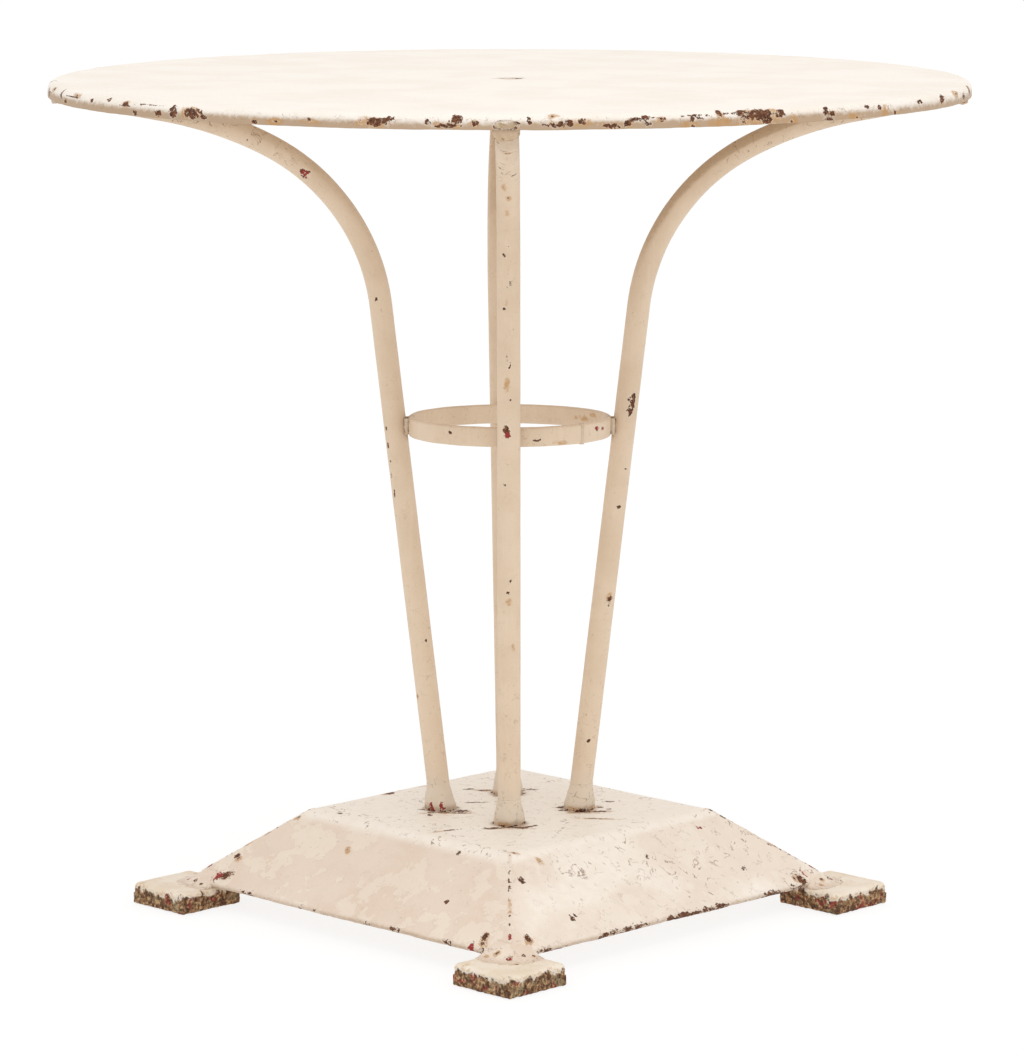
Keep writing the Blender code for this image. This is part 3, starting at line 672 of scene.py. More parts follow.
def plugShare(points, corner):
    # how far each point is from a plug weld's middle: 1 at its outline, and large on the
    # far side of the table
    middle, outward, sideways, halfWide, halfTall = plugFrame(corner)
    aside = points @ np.array(sideways) / halfWide
    rise = (points[:, 2] - middle.z) / halfTall
    far = (points @ np.array(outward) < 0) * 9.0
    return np.hypot(aside, rise) + far


def buildTop():
    profile = np.array(topProfile())
    angles = np.linspace(0, 2 * math.pi, top["steps"], endpoint=False)
    rows = np.stack([
        np.outer(np.cos(angles), profile[:, 0]), np.outer(np.sin(angles), profile[:, 0]),
        np.tile(profile[:, 1], (len(angles), 1)),
    ], axis=2)
    mesh = gridMesh("table_top_painted", rows)
    points = pointsOf(mesh)
    radius = np.linalg.norm(points[:, :2], axis=1)
    marks = [rimMark(*chip) for chip in rimChips]
    marks += [
        ((0.0018, 0.0018, topHigh.z - 0.001), (0.707, 0.707, 0.0), 0.0065, 0.0065, "bare"),
        ((-0.0065, -0.0085, topHigh.z), (0.707, 0.707, 0.0), 0.0035, 0.002, "stain"),
    ]

    around = (np.degrees(np.arctan2(points[:, 1], points[:, 0])) + 45 + 180) % 360 - 180
    outside = rising(radius, 0.375, 0.397)
    below = topHigh.z - points[:, 2]
    plugReach = np.min([plugShare(points, corner) for corner in corners], axis=0)

    # dirt is heaviest low on the rim and on both sides of the front; the underside is darkened all over as
    # painted shade
    low = rising(below, 0.0020, 0.0125) * 1.15
    heavy = rising(around, -4, 12) * falling(around, 36, 54) + rising(around, 140, 220) * 0.6
    heavy += rising(around, -130, -100) * falling(around, -30, -4) * 0.8
    rim = np.maximum(low * (1.0 + heavy * 0.45), falling(np.abs(plugReach - 1.0), 0.06, 0.35) * 0.8)
    # painted shade: the underside of the sheet is darkened all over
    shadowed = rising(below, 0.001, 0.0018) * 0.6
    drain = falling(radius, 0.006, 0.016) * 0.9
    grime = np.clip(rim * outside + shadowed * (1 - outside) + drain, 0, 1.4)
    # the rim is close to chipping along its lip, its lower edge and the plugs' outlines
    worn = np.maximum(falling(np.abs(below - 0.007), 0.003, 0.006), rising(below, 0.011, 0.0135) * 0.7)
    worn = worn * (0.35 + 0.50 * rising(lumps(points, 0.03, 40), -0.3, 0.4))
    outline = falling(np.abs(plugReach - 1.12), 0.12, 0.32) * 1.75
    wear = soundPaint + np.maximum(worn, outline) * outside
    crackle = falling(np.abs(below - 0.0065), 0.002, 0.005) * outside * 0.8
    chip = wearPaint(mesh, marks, grime=grime, wear=wear, crackle=crackle)
    # the rim wavers a little, and chips sit below the paint
    facing = normalsOf(mesh)
    waver = (lumps(points, 0.030, 3) + lumps(points, 0.008, 5) * 0.5) * top["edgeRipple"]
    depth = rising(chip, -0.1, 0.3) * top["chipDepth"] * outside
    sunk = falling(plugReach, 0.98, 1.12) * plug["sink"]
    inward = np.clip(waver + top["edgeRipple"] * 1.5, 0, None) * outside + depth + sunk * outside
    flat = (lumps(points, 0.16, 8) - 1.0) * 0.0003 * (1.0 - outside)
    points = points - facing * inward[:, None]
    points[:, 2] += flat
    movePoints(mesh, points)
    piece = makePiece("table_top_painted", mesh, paints["topPaint"])
    handOver(piece, "top_paint", "table_top")


buildTop()
print("table top turned")


# Legs: round tube bent outwards under the top

leg = {
    "Radius": 0.010, "Sides": 44, "Step": 0.0016, "Swelling": 0.00022, "Swelling Size": 0.035,
    "footRadius": 0.0611, "endInset": 0.012, "lean": 6.55, "footLift": 0.0012,
    "lowerRadius": 0.182, "lowerAngle": 63.3, "upperRadius": 0.329, "upperAngle": 80.0,
}
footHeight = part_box("leg_front_right")[0].z
ringLow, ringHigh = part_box("ring_stretcher")
ringRadius = ringHigh.y
ringMiddle = (ringLow.z + ringHigh.z) / 2

# chips on each leg: height, degrees round the tube from its outer side, length along
# the tube and width in millimetres, and kind
legChips = {
    "front_right": [
        (0.443, -14, 9, 6, "bare"), (0.4395, -7, 5, 5, "primer"), (0.310, 8, 3.4, 2.6, "bare"),
        (0.300, -4, 3, 2.6, "bare"), (0.291, 0, 3, 2.6, "stain"), (0.575, 10, 5, 2.6, "bare"),
        (0.470, 8, 3, 2.6, "bare"), (0.395, -20, 2.6, 2.6, "bare"), (0.500, 6, 6, 2.4, "bare"),
        (0.55, -24, 3, 2.4, "bare"), (0.60, -20, 4, 2.4, "bare"), (0.25, 22, 2.6, 2.4, "stain"),
        (0.7065, -14, 3, 6, "bare"), (0.704, 6, 9, 8, "stain"), (0.716, -42, 9, 3, "rust"),
        (0.6845, -38, 5, 2.4, "bare"), (0.680, -27, 5, 2.6, "bare"), (0.678, 36, 2.4, 5, "bare"),
        (0.667, -20, 5, 2.4, "stain"), (0.656, 2, 4, 3, "stain"), (0.641, -4, 4, 3, "stain"),
        (0.624, -5, 26, 1.7, "hair"), (0.610, -4, 9, 3, "hair"), (0.592, -6, 30, 1.7, "hair"),
        (0.563, -8, 34, 1.6, "hair"), (0.502, -10, 30, 1.7, "hair"), (0.483, -8, 6, 2.6, "stain"),
    ],
    "front_left": [
        (0.6545, 78, 8, 6, "primer"), (0.685, 70, 3.5, 3, "bare"), (0.545, 75, 4, 3, "bare"),
        (0.43, 40, 4, 2.4, "bare"), (0.415, 34, 5, 2.4, "bare"), (0.40, 38, 3, 2.4, "bare"),
        (0.388, 34, 6, 2.4, "bare"), (0.372, 40, 8, 2.6, "bare"), (0.352, 36, 4, 2.4, "bare"),
        (0.19, 25, 3, 3, "stain"), (0.24, 120, 3, 3, "bare"),
    ],
    "back_right": [
        (0.452, -62, 12, 6, "bare"), (0.445, -68, 8, 5, "bare"), (0.2775, -60, 8, 5, "rust"),
        (0.395, -52, 3, 2.6, "bare"), (0.36, -70, 3, 2.6, "bare"), (0.15, -80, 3, 2.6, "bare"),
    ],
    "back_left": [
        (0.40, 100, 6, 4, "bare"), (0.33, 175, 8, 5, "rust"), (0.52, 20, 10, 6, "primer"),
        (0.22, 60, 4, 3, "bare"), (0.60, -30, 9, 4, "bare"),
    ],
}


def legLine():
    # the tube's centre as (radius, height), foot first; its two straight lengths bring
    # the foot to the base and the end to the rim
    lean = math.radians(leg["lean"])
    lower = math.radians(leg["lowerAngle"])
    upper = math.radians(leg["upperAngle"])
    endRadius = topHigh.x - leg["endInset"]
    endHeight = topHigh.z - top["sheet"] - gap - leg["Radius"] / math.sin(upper)
    out = endRadius - leg["footRadius"] - leg["lowerRadius"] * (math.cos(lean) - math.cos(lower))
    out -= leg["upperRadius"] * (math.cos(lower) - math.cos(upper))
    up = endHeight - footHeight - leg["lowerRadius"] * (math.sin(lower) - math.sin(lean))
    up -= leg["upperRadius"] * (math.sin(upper) - math.sin(lower))
    rise = (up * math.sin(upper) - out * math.cos(upper)) / math.sin(upper - lean)
    lift = leg["footLift"]
    line = [(leg["footRadius"] + lift * math.tan(lean), footHeight + lift)]
    line.append((leg["footRadius"] + rise * math.sin(lean), footHeight + rise * math.cos(lean)))
    for radius, begin, finish in ((leg["lowerRadius"], lean, lower), (leg["upperRadius"], lower, upper)):
        across, height = line[-1]
        for step in range(1, 25):
            angle = begin + (finish - begin) * step / 24
            spot = (
                across + radius * (math.cos(begin) - math.cos(angle)),
                height + radius * (math.sin(angle) - math.sin(begin)),
            )
            line.append(spot)
    line.append((endRadius, endHeight))
    return line


def legSpot(corner, radius, height):
    # a point on a leg's centre line, strays included
    direction, turn, tilt, shift = corners[corner]
    aside = shift + turn * radius + tilt * (height - footHeight)
    outward, sideways = heading(direction)
    return outward * radius + sideways * aside + Vector((0.0, 0.0, height))


def legFrame(corner, line, height):
    # the tube's centre at a height, the way it runs, its outer side and its left side
    for low, high in zip(line, line[1:]):
        if height <= high[1]:
            break
    share = (height - low[1]) / (high[1] - low[1])
    centre = legSpot(corner, low[0] + (high[0] - low[0]) * share, height)
    along = (legSpot(corner, *high) - legSpot(corner, *low)).normalized()
    sideways = heading(corners[corner][0])[1]
    outer = sideways.cross(along).normalized()
    return centre, along, outer, sideways


def legMark(corner, line, height, around, long, wide, kind):
    centre, along, outer, sideways = legFrame(corner, line, height)
    angle = math.radians(around)
    spot = centre + (outer * math.cos(angle) + sideways * math.sin(angle)) * leg["Radius"]
    return spot, along, long / 2000, wide / 2000, kind


def legSoilingAndShade(points, corner, line):
    # painted shade, with some dirt, just under the top; dirt at the ring, and on the upper side of the
    # bend
    radii, heights = np.array(line).T
    heavy = 1.4 if corner == "back_right" else 0.5
    radius = np.linalg.norm(points[:, :2], axis=1)
    height = points[:, 2]
    # painted shade: the legs darken over their last few centimetres under the top, with some dirt
    nearTop = rising(height, topLow.z - 0.052, topLow.z - 0.004)
    nearRing = falling(np.abs(height - ringMiddle), 0.008, 0.018)
    inside = falling(radius, ringRadius - 0.001, ringRadius + 0.006)
    upperSide = rising(np.interp(height, heights, radii) - radius, 0.001, 0.009)
    bend = rising(height, 0.52, 0.64) * heavy * 0.8
    return np.maximum(np.maximum(nearTop * 0.8, nearRing * inside), upperSide * bend)


def legFade(points):
    # the paint turns grey and chalky towards the foot
    return falling(points[:, 2], footHeight + 0.004, footHeight + 0.050) * 0.8


def legCrackle(points):
    nearTop = rising(points[:, 2], topLow.z - 0.085, topLow.z - 0.030)
    return np.maximum(0.3 * falling(points[:, 2], footHeight, footHeight + 0.25) + 0.15, nearTop * 1.2)


def buildLegs():
    line = legLine()
    for seed, corner in enumerate(corners):
        path = [legSpot(corner, *spot) for spot in line]
        sizes = {**nodeSizes(leg), "Seed": seed + 2}
        piece = sweep("leg_tube_" + corner, tubeTree, path, sizes, paints["legPaint"])
        marks = [legMark(corner, line, *chip) for chip in legChips[corner]]
        points = pointsOf(piece.data)
        grime = legSoilingAndShade(points, corner, line)
        wearPaint(piece.data, marks, grime=grime, fade=legFade(points), crackle=legCrackle(points))
        handOver(piece, "leg_paint", "leg_" + corner)


buildLegs()
print("legs bent")


# Plug weld in the rim over each leg's end, and the weld behind it

def buildPlugs():
    for seed, corner in enumerate(corners):
        middle, outward, sideways, halfWide, halfTall = plugFrame(corner)
        rows = []
        for ring in range(plug["rings"] + 1):
            share = 1.0 - (ring - 1) / plug["rings"] if ring else 1.0
            row = []
            for step in range(plug["sides"]):
                turn = 2 * math.pi * step / plug["sides"]
                aside = halfWide * share * math.cos(turn)
                rise = halfTall * share * math.sin(turn)
                edge = topHigh.x - gap / 2 - plug["crown"] * share ** 2 - (0.0 if ring else plug["depth"])
                reach = math.sqrt(edge ** 2 - aside ** 2)
                row.append(tuple(outward * reach + sideways * aside + Vector((0, 0, middle.z + rise))))
            rows.append(row)
        mesh = gridMesh("rim_plug_" + corner, rows, capped=True)
        swellSkin(mesh, -plug["lumps"] * (lumps(pointsOf(mesh), 0.004, seed + 11) + 1.0))
        wear = -1.25 + 1.45 * rising(plugShare(pointsOf(mesh), corner), 0.74, 0.95)
        wearPaint(mesh, [], grime=0.45, wear=wear, crackle=1.0)
        piece = makePiece("rim_plug_" + corner, mesh, paints["plugPaint"])
        handOver(piece, "top_paint", "rim_plug_weld_" + corner)
        buildEndWeld(corner, seed)


endWeld = {
    "halfOut": 0.0105, "halfWide": 0.0112, "halfTall": 0.0078, "below": 0.0148, "squareness": 2.3,
    "turns": 48, "levels": 30, "wrinkles": 0.0012, "underSheet": 0.0009,
}


def buildEndWeld(corner, seed):
    # a lump of weld that fills the tube's mouth and ties it to the inside of the rim
    middle, half, outward, sideways = nodeFrame("leg_end_weld_" + corner)
    centre = Vector((middle.x, middle.y, topHigh.z - endWeld["below"]))
    power = endWeld["squareness"]
    rows = []
    for level in range(endWeld["levels"] + 1):
        tilt = math.pi * (0.02 + 0.96 * level / endWeld["levels"])
        row = []
        for turn in range(endWeld["turns"]):
            angle = 2 * math.pi * turn / endWeld["turns"]
            way = (math.sin(tilt) * math.cos(angle), math.sin(tilt) * math.sin(angle), math.cos(tilt))
            size = sum(abs(part) ** power for part in way) ** (-1 / power)
            spot = centre + outward * (way[0] * size * endWeld["halfOut"])
            spot += sideways * (way[1] * size * endWeld["halfWide"])
            spot.z += way[2] * size * endWeld["halfTall"]
            row.append(tuple(spot))
        rows.append(row)
    mesh = gridMesh("leg_end_lump_" + corner, rows, capped=True)
    points = pointsOf(mesh)
    swell = lumps(points, 0.006, seed + 31) + lumps(points, 0.0025, seed + 35) * 0.6
    points += normalsOf(mesh) * (swell * endWeld["wrinkles"])[:, None]
    # nothing stands past the inside of the rim or up into the sheet
    reach = np.linalg.norm(points[:, :2], axis=1)
    points[:, :2] *= np.minimum(1.0, (topHigh.x - top["sheet"] - gap) / reach)[:, None]
    points[:, 2] = np.minimum(points[:, 2], topHigh.z - top["sheet"] - endWeld["underSheet"])
    movePoints(mesh, points)
    piece = makePiece("leg_end_lump_" + corner, mesh, paints["legPaint"])
    drop = Vector((0, 0, -0.005))
    slanting = (sideways - outward).normalized()
    marks = [
        (centre + sideways * -0.007 + drop, slanting, 0.004, 0.0018, "rust"),
        (centre + sideways * 0.006 + drop, outward, 0.0024, 0.0016, "bare"),
        (centre + drop * 1.2, sideways, 0.005, 0.0015, "bare"),
    ]
    wearPaint(mesh, marks, grime=0.9, wear=-1.1, crackle=1.0)
    handOver(piece, "leg_paint", "leg_end_weld_" + corner)


buildPlugs()


# Ring stretcher: a flat bar on edge inside the legs, closed by a weld

ring = {
    "Width": 0.0172, "Thickness": 0.005, "Edge": 0.0019, "Step": 0.0017, "Sides": 34,
    "Swelling": 0.00035, "Swelling Size": 0.022, "Seed": 5, "tiltRise": 0.0021,
}
closingBead = {
    "Radius": 0.0021, "Step": 0.0006, "Sides": 22, "Ripple Pitch": 0.0022, "Ripple Depth": 0.10,
    "Swelling": 0.0004, "Swelling Size": 0.003, "Seed": 41, "sink": 0.0010,
    "path": ((-0.98, 0.6), (-0.5, 1.0), (0, 1.0), (0.5, 1.0), (0.98, 0.6)),
}
# each bead's path is how far up the weld from its middle, and how stout it is there
ringBead = {
    "Radius": 0.0025, "Step": 0.0006, "Sides": 22, "Ripple Pitch": 0.0029, "Ripple Depth": 0.16,
    "Swelling": 0.0009, "Swelling Size": 0.0035, "sink": 0.0006,
    "path": (
        (-0.96, 0.25), (-0.86, 0.68), (-0.5, 1.05), (0, 0.88),
        (0.5, 1.08), (0.86, 0.66), (0.96, 0.22),
    ),
}
# marks on the ring: degrees round from the front corner, height above its middle,
# width and height in millimetres, and kind; 1 is its outer face and -1 its inner
ringChips = [
    (58, 3, 6, 4, "primer", 1), (65, 1.5, 4, 3, "primer", 1), (88, 1, 5, 5, "bare", 1),
    (84, -5, 5, 4, "bare", 1), (-82, 5, 5, 3, "bare", 1), (-84, -4, 4, 4, "bare", 1),
    (15, -3, 5, 2, "bare", 1), (118, 4, 8, 2, "stain", -1), (128, 0, 9, 1.6, "stain", -1),
    (170, 6, 6, 2, "bare", 1), (205, -4, 8, 4, "rust", 1), (150, 2, 6, 5, "primer", 1),
    (30, -6, 6, 2, "stain", 1), (-35, 2, 3, 2.4, "bare", 1), (250, 0, 5, 4, "bare", 1),
]


def ringSpot(angle, radius):
    rise = ring["tiltRise"] * math.cos(angle + math.pi / 4) * radius / ringRadius
    return Vector((radius * math.cos(angle), radius * math.sin(angle), ringMiddle + rise))


def buildRing():
    centreRadius = ringRadius - ring["Thickness"] / 2
    path = [ringSpot(2 * math.pi * step / 180, centreRadius) for step in range(180)]
    piece = sweep("ring_flat_bar", barTree, path, nodeSizes(ring), paints["legPaint"], closed=True)
    marks = []
    for around, height, wide, tall, kind, side in ringChips:
        angle = math.radians(around - 45)
        spot = ringSpot(angle, centreRadius + side * ring["Thickness"] / 2) + Vector((0, 0, height / 1000))
        along = (-math.sin(angle), math.cos(angle), 0.0)
        marks.append((spot, along, wide / 2000, tall / 2000, kind))

    points = pointsOf(piece.data)
    flat = points[:, :2]
    inner = falling(np.linalg.norm(flat, axis=1), ringRadius - 0.005, ringRadius - 0.002)
    under = falling(points[:, 2], ringLow.z, ringLow.z + 0.004)
    feet = [np.array(heading(direction)[0])[:2] * ringRadius for direction, *_ in corners.values()]
    away = np.min([np.linalg.norm(flat - foot, axis=1) for foot in feet], axis=0)
    grime = np.maximum(np.maximum(inner * 0.08, under * 0.35), falling(away, 0.004, 0.016) * 0.8)
    wearPaint(piece.data, marks, grime=grime, fade=grime * 0.5, wear=-1.5, crackle=0.3)
    handOver(piece, "leg_paint", "ring_stretcher")
    # the weld where the bar's two ends meet: a low bead across its outside and over its edges
    middle, half, *_ = nodeFrame("ring_closing_weld")
    foot = Vector((ringRadius - closingBead["sink"], middle.y, middle.z))
    path = [foot + Vector((0, 0, half.z * share)) for share, stout in closingBead["path"]]
    shares = [stout for share, stout in closingBead["path"]]
    sizes = nodeSizes(closingBead)
    piece = sweep("ring_closing_bead", tubeTree, path, sizes, paints["weldPaint"], shares)
    wearPaint(piece.data, [], grime=0.5, wear=-1.3)
    handOver(piece, "leg_paint", "ring_closing_weld")


def buildRingWelds():
    hands = [(corner, hand) for corner in corners for hand in ("a", "b")]
    for number, (corner, hand) in enumerate(hands):
        node = "leg_ring_weld_" + corner + "_" + hand
        middle, half, outward, sideways = nodeFrame(node)
        along = Vector((0, 0, half.z))
        foot = middle - outward * ringBead["sink"]
        path = [foot + along * share for share, stout in ringBead["path"]]
        shares = [stout for share, stout in ringBead["path"]]
        sizes = {**nodeSizes(ringBead), "Seed": number + 1 if hand == "a" else number - 1}
        name = "leg_ring_bead_" + corner + "_" + hand
        piece = sweep(name, tubeTree, path, sizes, paints["weldPaint"], shares)
        marks = [
            (middle + along * 0.9, outward, 0.002, 0.0012, "bare"),
            (middle - along * 0.55, outward, 0.0018, 0.0012, "rust"),
        ]
        wearPaint(piece.data, marks, grime=0.5, wear=-1.2, fade=0.4)
        handOver(piece, "leg_paint", node)


buildRing()
buildRingWelds()
print("ring closed")


# Foot welds: a bulging collar round the foot of each leg

collar = {
    "sides": 90, "height": 0.0235, "spread": 0.0035, "lumps": 0.0008, "sink": 0.0012,
    # how far up, and how far out
    "shares": (
        (0.0, 0.80), (0.06, 0.90), (0.14, 0.98), (0.24, 1.0), (0.34, 0.94), (0.44, 0.82),
        (0.54, 0.66), (0.64, 0.48), (0.74, 0.30), (0.83, 0.15), (0.92, 0.04), (1.0, 0.0),
    ),
}
# marks on each collar: degrees round the tube, height, height and width of the mark in
# millimetres, and kind
collarChips = {
    "front_right": [(80, 1, 4, 12, "rust"), (-30, 0.5, 3, 9, "rust"), (25, 0.3, 2.4, 14, "bare")],
    "front_left": [
        (52, 4, 9, 4, "primer"), (100, 3, 5, 4, "primer"), (88, 5, 8, 5, "primer"),
        (10, 2, 4, 5, "rust"),
    ],
    "back_right": [(-50, 0.5, 3, 10, "bare"), (-100, 1, 3, 9, "rust"), (-20, 1, 4, 5, "rust")],
    "back_left": [(-150, 1, 4, 9, "rust"), (110, 1, 4, 7, "bare"), (20, 2, 4, 6, "primer")],
}


def buildCollars():
    line = legLine()
    for seed, corner in enumerate(corners):
        base, along, outer, sideways = legFrame(corner, line, footHeight + leg["footLift"] * 1.5)
        base -= along * (base.z - footHeight) / along.z
        rows = []
        for up, out in collar["shares"] + ((1.0, -0.25), (0.0, -0.25)):
            row = []
            for step in range(collar["sides"]):
                angle = 2 * math.pi * step / collar["sides"]
                radius = leg["Radius"] + 0.0001 + collar["spread"] * out
                offset = outer * (radius * math.cos(angle)) + sideways * (radius * math.sin(angle))
                start = base + offset - along * (offset.z / along.z) - Vector((0, 0, collar["sink"]))
                row.append(tuple(start + along * (collar["height"] + collar["sink"]) * up))
            rows.append(row)
        mesh = gridMesh("leg_foot_collar_" + corner, rows)
        points = pointsOf(mesh)
        share = rising(footHeight + collar["height"] - points[:, 2], 0.002, 0.012)
        swell = lumps(points, 0.009, seed + 21) + lumps(points, 0.004, seed + 25) * 0.5
        swellSkin(mesh, swell * share * collar["lumps"])
        marks = []
        for around, height, tall, wide, kind in collarChips[corner]:
            angle = math.radians(around)
            reach = leg["Radius"] + collar["spread"] * (1 - height / 24)
            spot = base + (outer * math.cos(angle) + sideways * math.sin(angle)) * reach
            spot.z = footHeight + height / 1000
            marks.append((spot, along, tall / 2000, wide / 2000, kind))
        points = pointsOf(mesh)
        grime = falling(points[:, 2], footHeight + 0.0005, footHeight + 0.008)
        wear = soundPaint + 0.3 + 1.35 * falling(points[:, 2], footHeight + 0.0008, footHeight + 0.0036)
        wearPaint(mesh, marks, grime=grime, wear=wear, fade=legFade(points), crackle=0.9)
        piece = makePiece("leg_foot_collar_" + corner, mesh, paints["legPaint"])
        handOver(piece, "leg_paint", "leg_foot_weld_" + corner)


buildCollars()
print("feet welded")


# Base: a folded sheet pyramid, open underneath

baseLow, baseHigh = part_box("base_shell")
base = {
    "perSide": 150, "perCorner": 4, "sheet": 0.003, "foldHalf": 0.1205, "foldRadius": 0.015,
    "cornerRadius": 0.005, "dents": 0.0011, "edgeEating": 0.0006, "markSpread": 0.0009,
}
skirtHalf = baseHigh.x
skirtEdge = baseLow.z
skirtSlope = math.atan2(
    baseHigh.z - base["sheet"] - skirtEdge, skirtHalf - 0.0019 - (base["foldHalf"] + 0.0043)
)

# marks on the base, in millimetres along its diagonals: to the right and to the front,
# length, width, the way it runs in degrees from the right, and kind
baseChips = [
    (-3, 76.5, 30, 3, 4, "bare"), (-15, 81, 14, 2.4, 8, "rust"), (8, 78, 18, 3, -3, "bare"),
    (17, 73, 12, 2.4, 30, "rust"), (0, 80, 34, 5, 2, "ochre"), (-58, 18, 34, 4, 2, "ochre"),
    (68, 18, 34, 4, 2, "ochre"), (-44, 8, 14, 3, -18, "bare"), (-58, 15, 28, 3, 2, "bare"),
    (-44, 19, 16, 2.6, -4, "rust"), (-71, 27, 4, 4, 0, "bare"), (-52, 20, 18, 2.4, -4, "stain"),
    (-78, 4, 5, 8, 70, "bare"), (-40, 12, 8, 2, 0, "rust"), (-36, -80, 12, 2.4, 12, "bare"),
    (-14, -70, 18, 6, 0, "stain"), (-24, -74, 14, 3, 0, "rust"), (18, -78, 14, 3.4, -8, "bare"),
    (9, -74, 8, 3, 0, "rust"), (43, -4, 10, 3, -28, "bare"), (52, 9, 16, 2.6, -12, "bare"),
    (66, 14, 26, 3, 2, "bare"), (80, 12, 14, 2.4, 4, "rust"), (80, -5, 5, 4, 0, "rust"),
    (89, -28, 7, 4, 20, "bare"), (89, 2, 5, 3, 0, "bare"), (78, 42, 26, 1.6, -6, "stain"),
    (-32, -24, 26, 1.6, 6, "bare"), (-54, 88, 22, 1.8, 22, "bare"), (-60, 92, 12, 1.6, 30, "stain"),
    (-40, 140, 12, 1.6, 2, "bare"), (-44, 146, 5, 3, 20, "bare"), (26, 168, 9, 1.8, -20, "stain"),
    (4, 172, 8, 2, 0, "stain"), (-4, 190, 2.4, 2.4, 0, "bare"), (10, 199, 7, 5, -20, "bare"),
    (-54, 191, 4, 2.6, 0, "bare"), (-22, 250, 7, 6, 20, "rust"), (-22, 257, 6, 8, 0, "stain"),
    (-32, 255, 10, 8, 20, "primer"), (-10, 276, 10, 5, 45, "rust"), (16, 257, 9, 4, -30, "rust"),
    (17, 264, 4, 9, 10, "stain"), (10, 272, 5, 4, 0, "bare"), (52, 210, 4, 6, 30, "bare"),
    (57, 204, 8, 1.8, -40, "bare"), (-242, 7, 9, 3.4, 10, "bare"), (-241, 12, 7, 3, 10, "stain"),
    (-189, 3, 6, 3, 20, "rust"), (-142, 73, 4, 3, 0, "stain"), (168, 30, 7, 4, 20, "primer"),
    (206, 48, 4, 5, 0, "bare"), (-252, 24, 14, 7, 0, "rust"), (-262, 16, 16, 8, 10, "primer"),
    (258, 24, 16, 7, -8, "rust"), (264, 12, 14, 7, 0, "primer"), (120, 96, 4, 3, 0, "bare"),
    (-110, -60, 9, 4, 30, "rust"), (60, -130, 14, 5, -20, "bare"), (-40, -180, 8, 6, 10, "primer"),
    (0, -200, 4, 9, 0, "rust"), (0, -232, 4, 14, 0, "bare"), (3, -268, 9, 7, 0, "rust"),
    (95, -150, 7, 4, 60, "bare"), (150, -60, 18, 5, 20, "rust"), (-160, -70, 12, 6, 0, "bare"),
    (-150, 20, 4, 3, 0, "bare"), (-215, 0, 8, 3, 0, "rust"), (215, 0, 9, 3, 0, "rust"),
    (232, 2, 7, 3, 0, "bare"),
]


def squareRow(half, height, radius):
    # one loop of a square with rounded corners, the same count of points whatever its size
    row = []
    flat = half - radius
    for side in range(4):
        angle = math.pi / 2 * side
        turned = (math.cos(angle), math.sin(angle))
        spots = []
        for step in range(base["perSide"]):
            spots.append((half, -flat + 2 * flat * step / base["perSide"]))
        for step in range(base["perCorner"]):
            bend = math.pi / 2 * step / base["perCorner"]
            spots.append((flat + radius * math.cos(bend), flat + radius * math.sin(bend)))
        for x, y in spots:
            row.append((x * turned[0] - y * turned[1], x * turned[1] + y * turned[0], height))
    return row


def baseProfile():
    # (half width, height, corner radius) from the middle of the plate outwards and back inside
    high = baseHigh.z
    centre = (base["foldHalf"], high - base["foldRadius"])
    profile = [(0.006 + 0.0019 * step, high, 0.0008) for step in range(60)]
    tilt = 90 - math.degrees(skirtSlope)
    fold = bendPoints(centre, base["foldRadius"], 90, tilt, 7)
    profile += [(half, height, 0.001 + 0.0006 * i) for i, (half, height) in enumerate(fold)]
    start = fold[-1]
    outer = (skirtHalf, skirtEdge + base["sheet"] * math.cos(skirtSlope))
    for step in range(1, 45):
        share = step / 44
        half = start[0] + (outer[0] - start[0]) * share
        profile.append((half, start[1] + (outer[1] - start[1]) * share, base["cornerRadius"]))
    lip = base["sheet"] * math.sin(skirtSlope)
    for share in (0.35, 0.7, 1.0):
        height = outer[1] + (skirtEdge - outer[1]) * share
        profile.append((skirtHalf - lip * share, height, base["cornerRadius"] - 0.002 * share))
    innerRadius = base["foldRadius"] - base["sheet"]
    inner = bendPoints(centre, innerRadius, tilt, 90, 4)
    low = (skirtHalf - lip, skirtEdge)
    for step in range(1, 7):
        share = step / 7
        half = low[0] + (inner[0][0] - low[0]) * share
        profile.append((half, low[1] + (inner[0][1] - low[1]) * share, 0.002))
    profile += [(half, height, 0.001) for half, height in inner]
    profile += [(0.08, high - base["sheet"], 0.001), (0.006, high - base["sheet"], 0.0008)]
    return profile


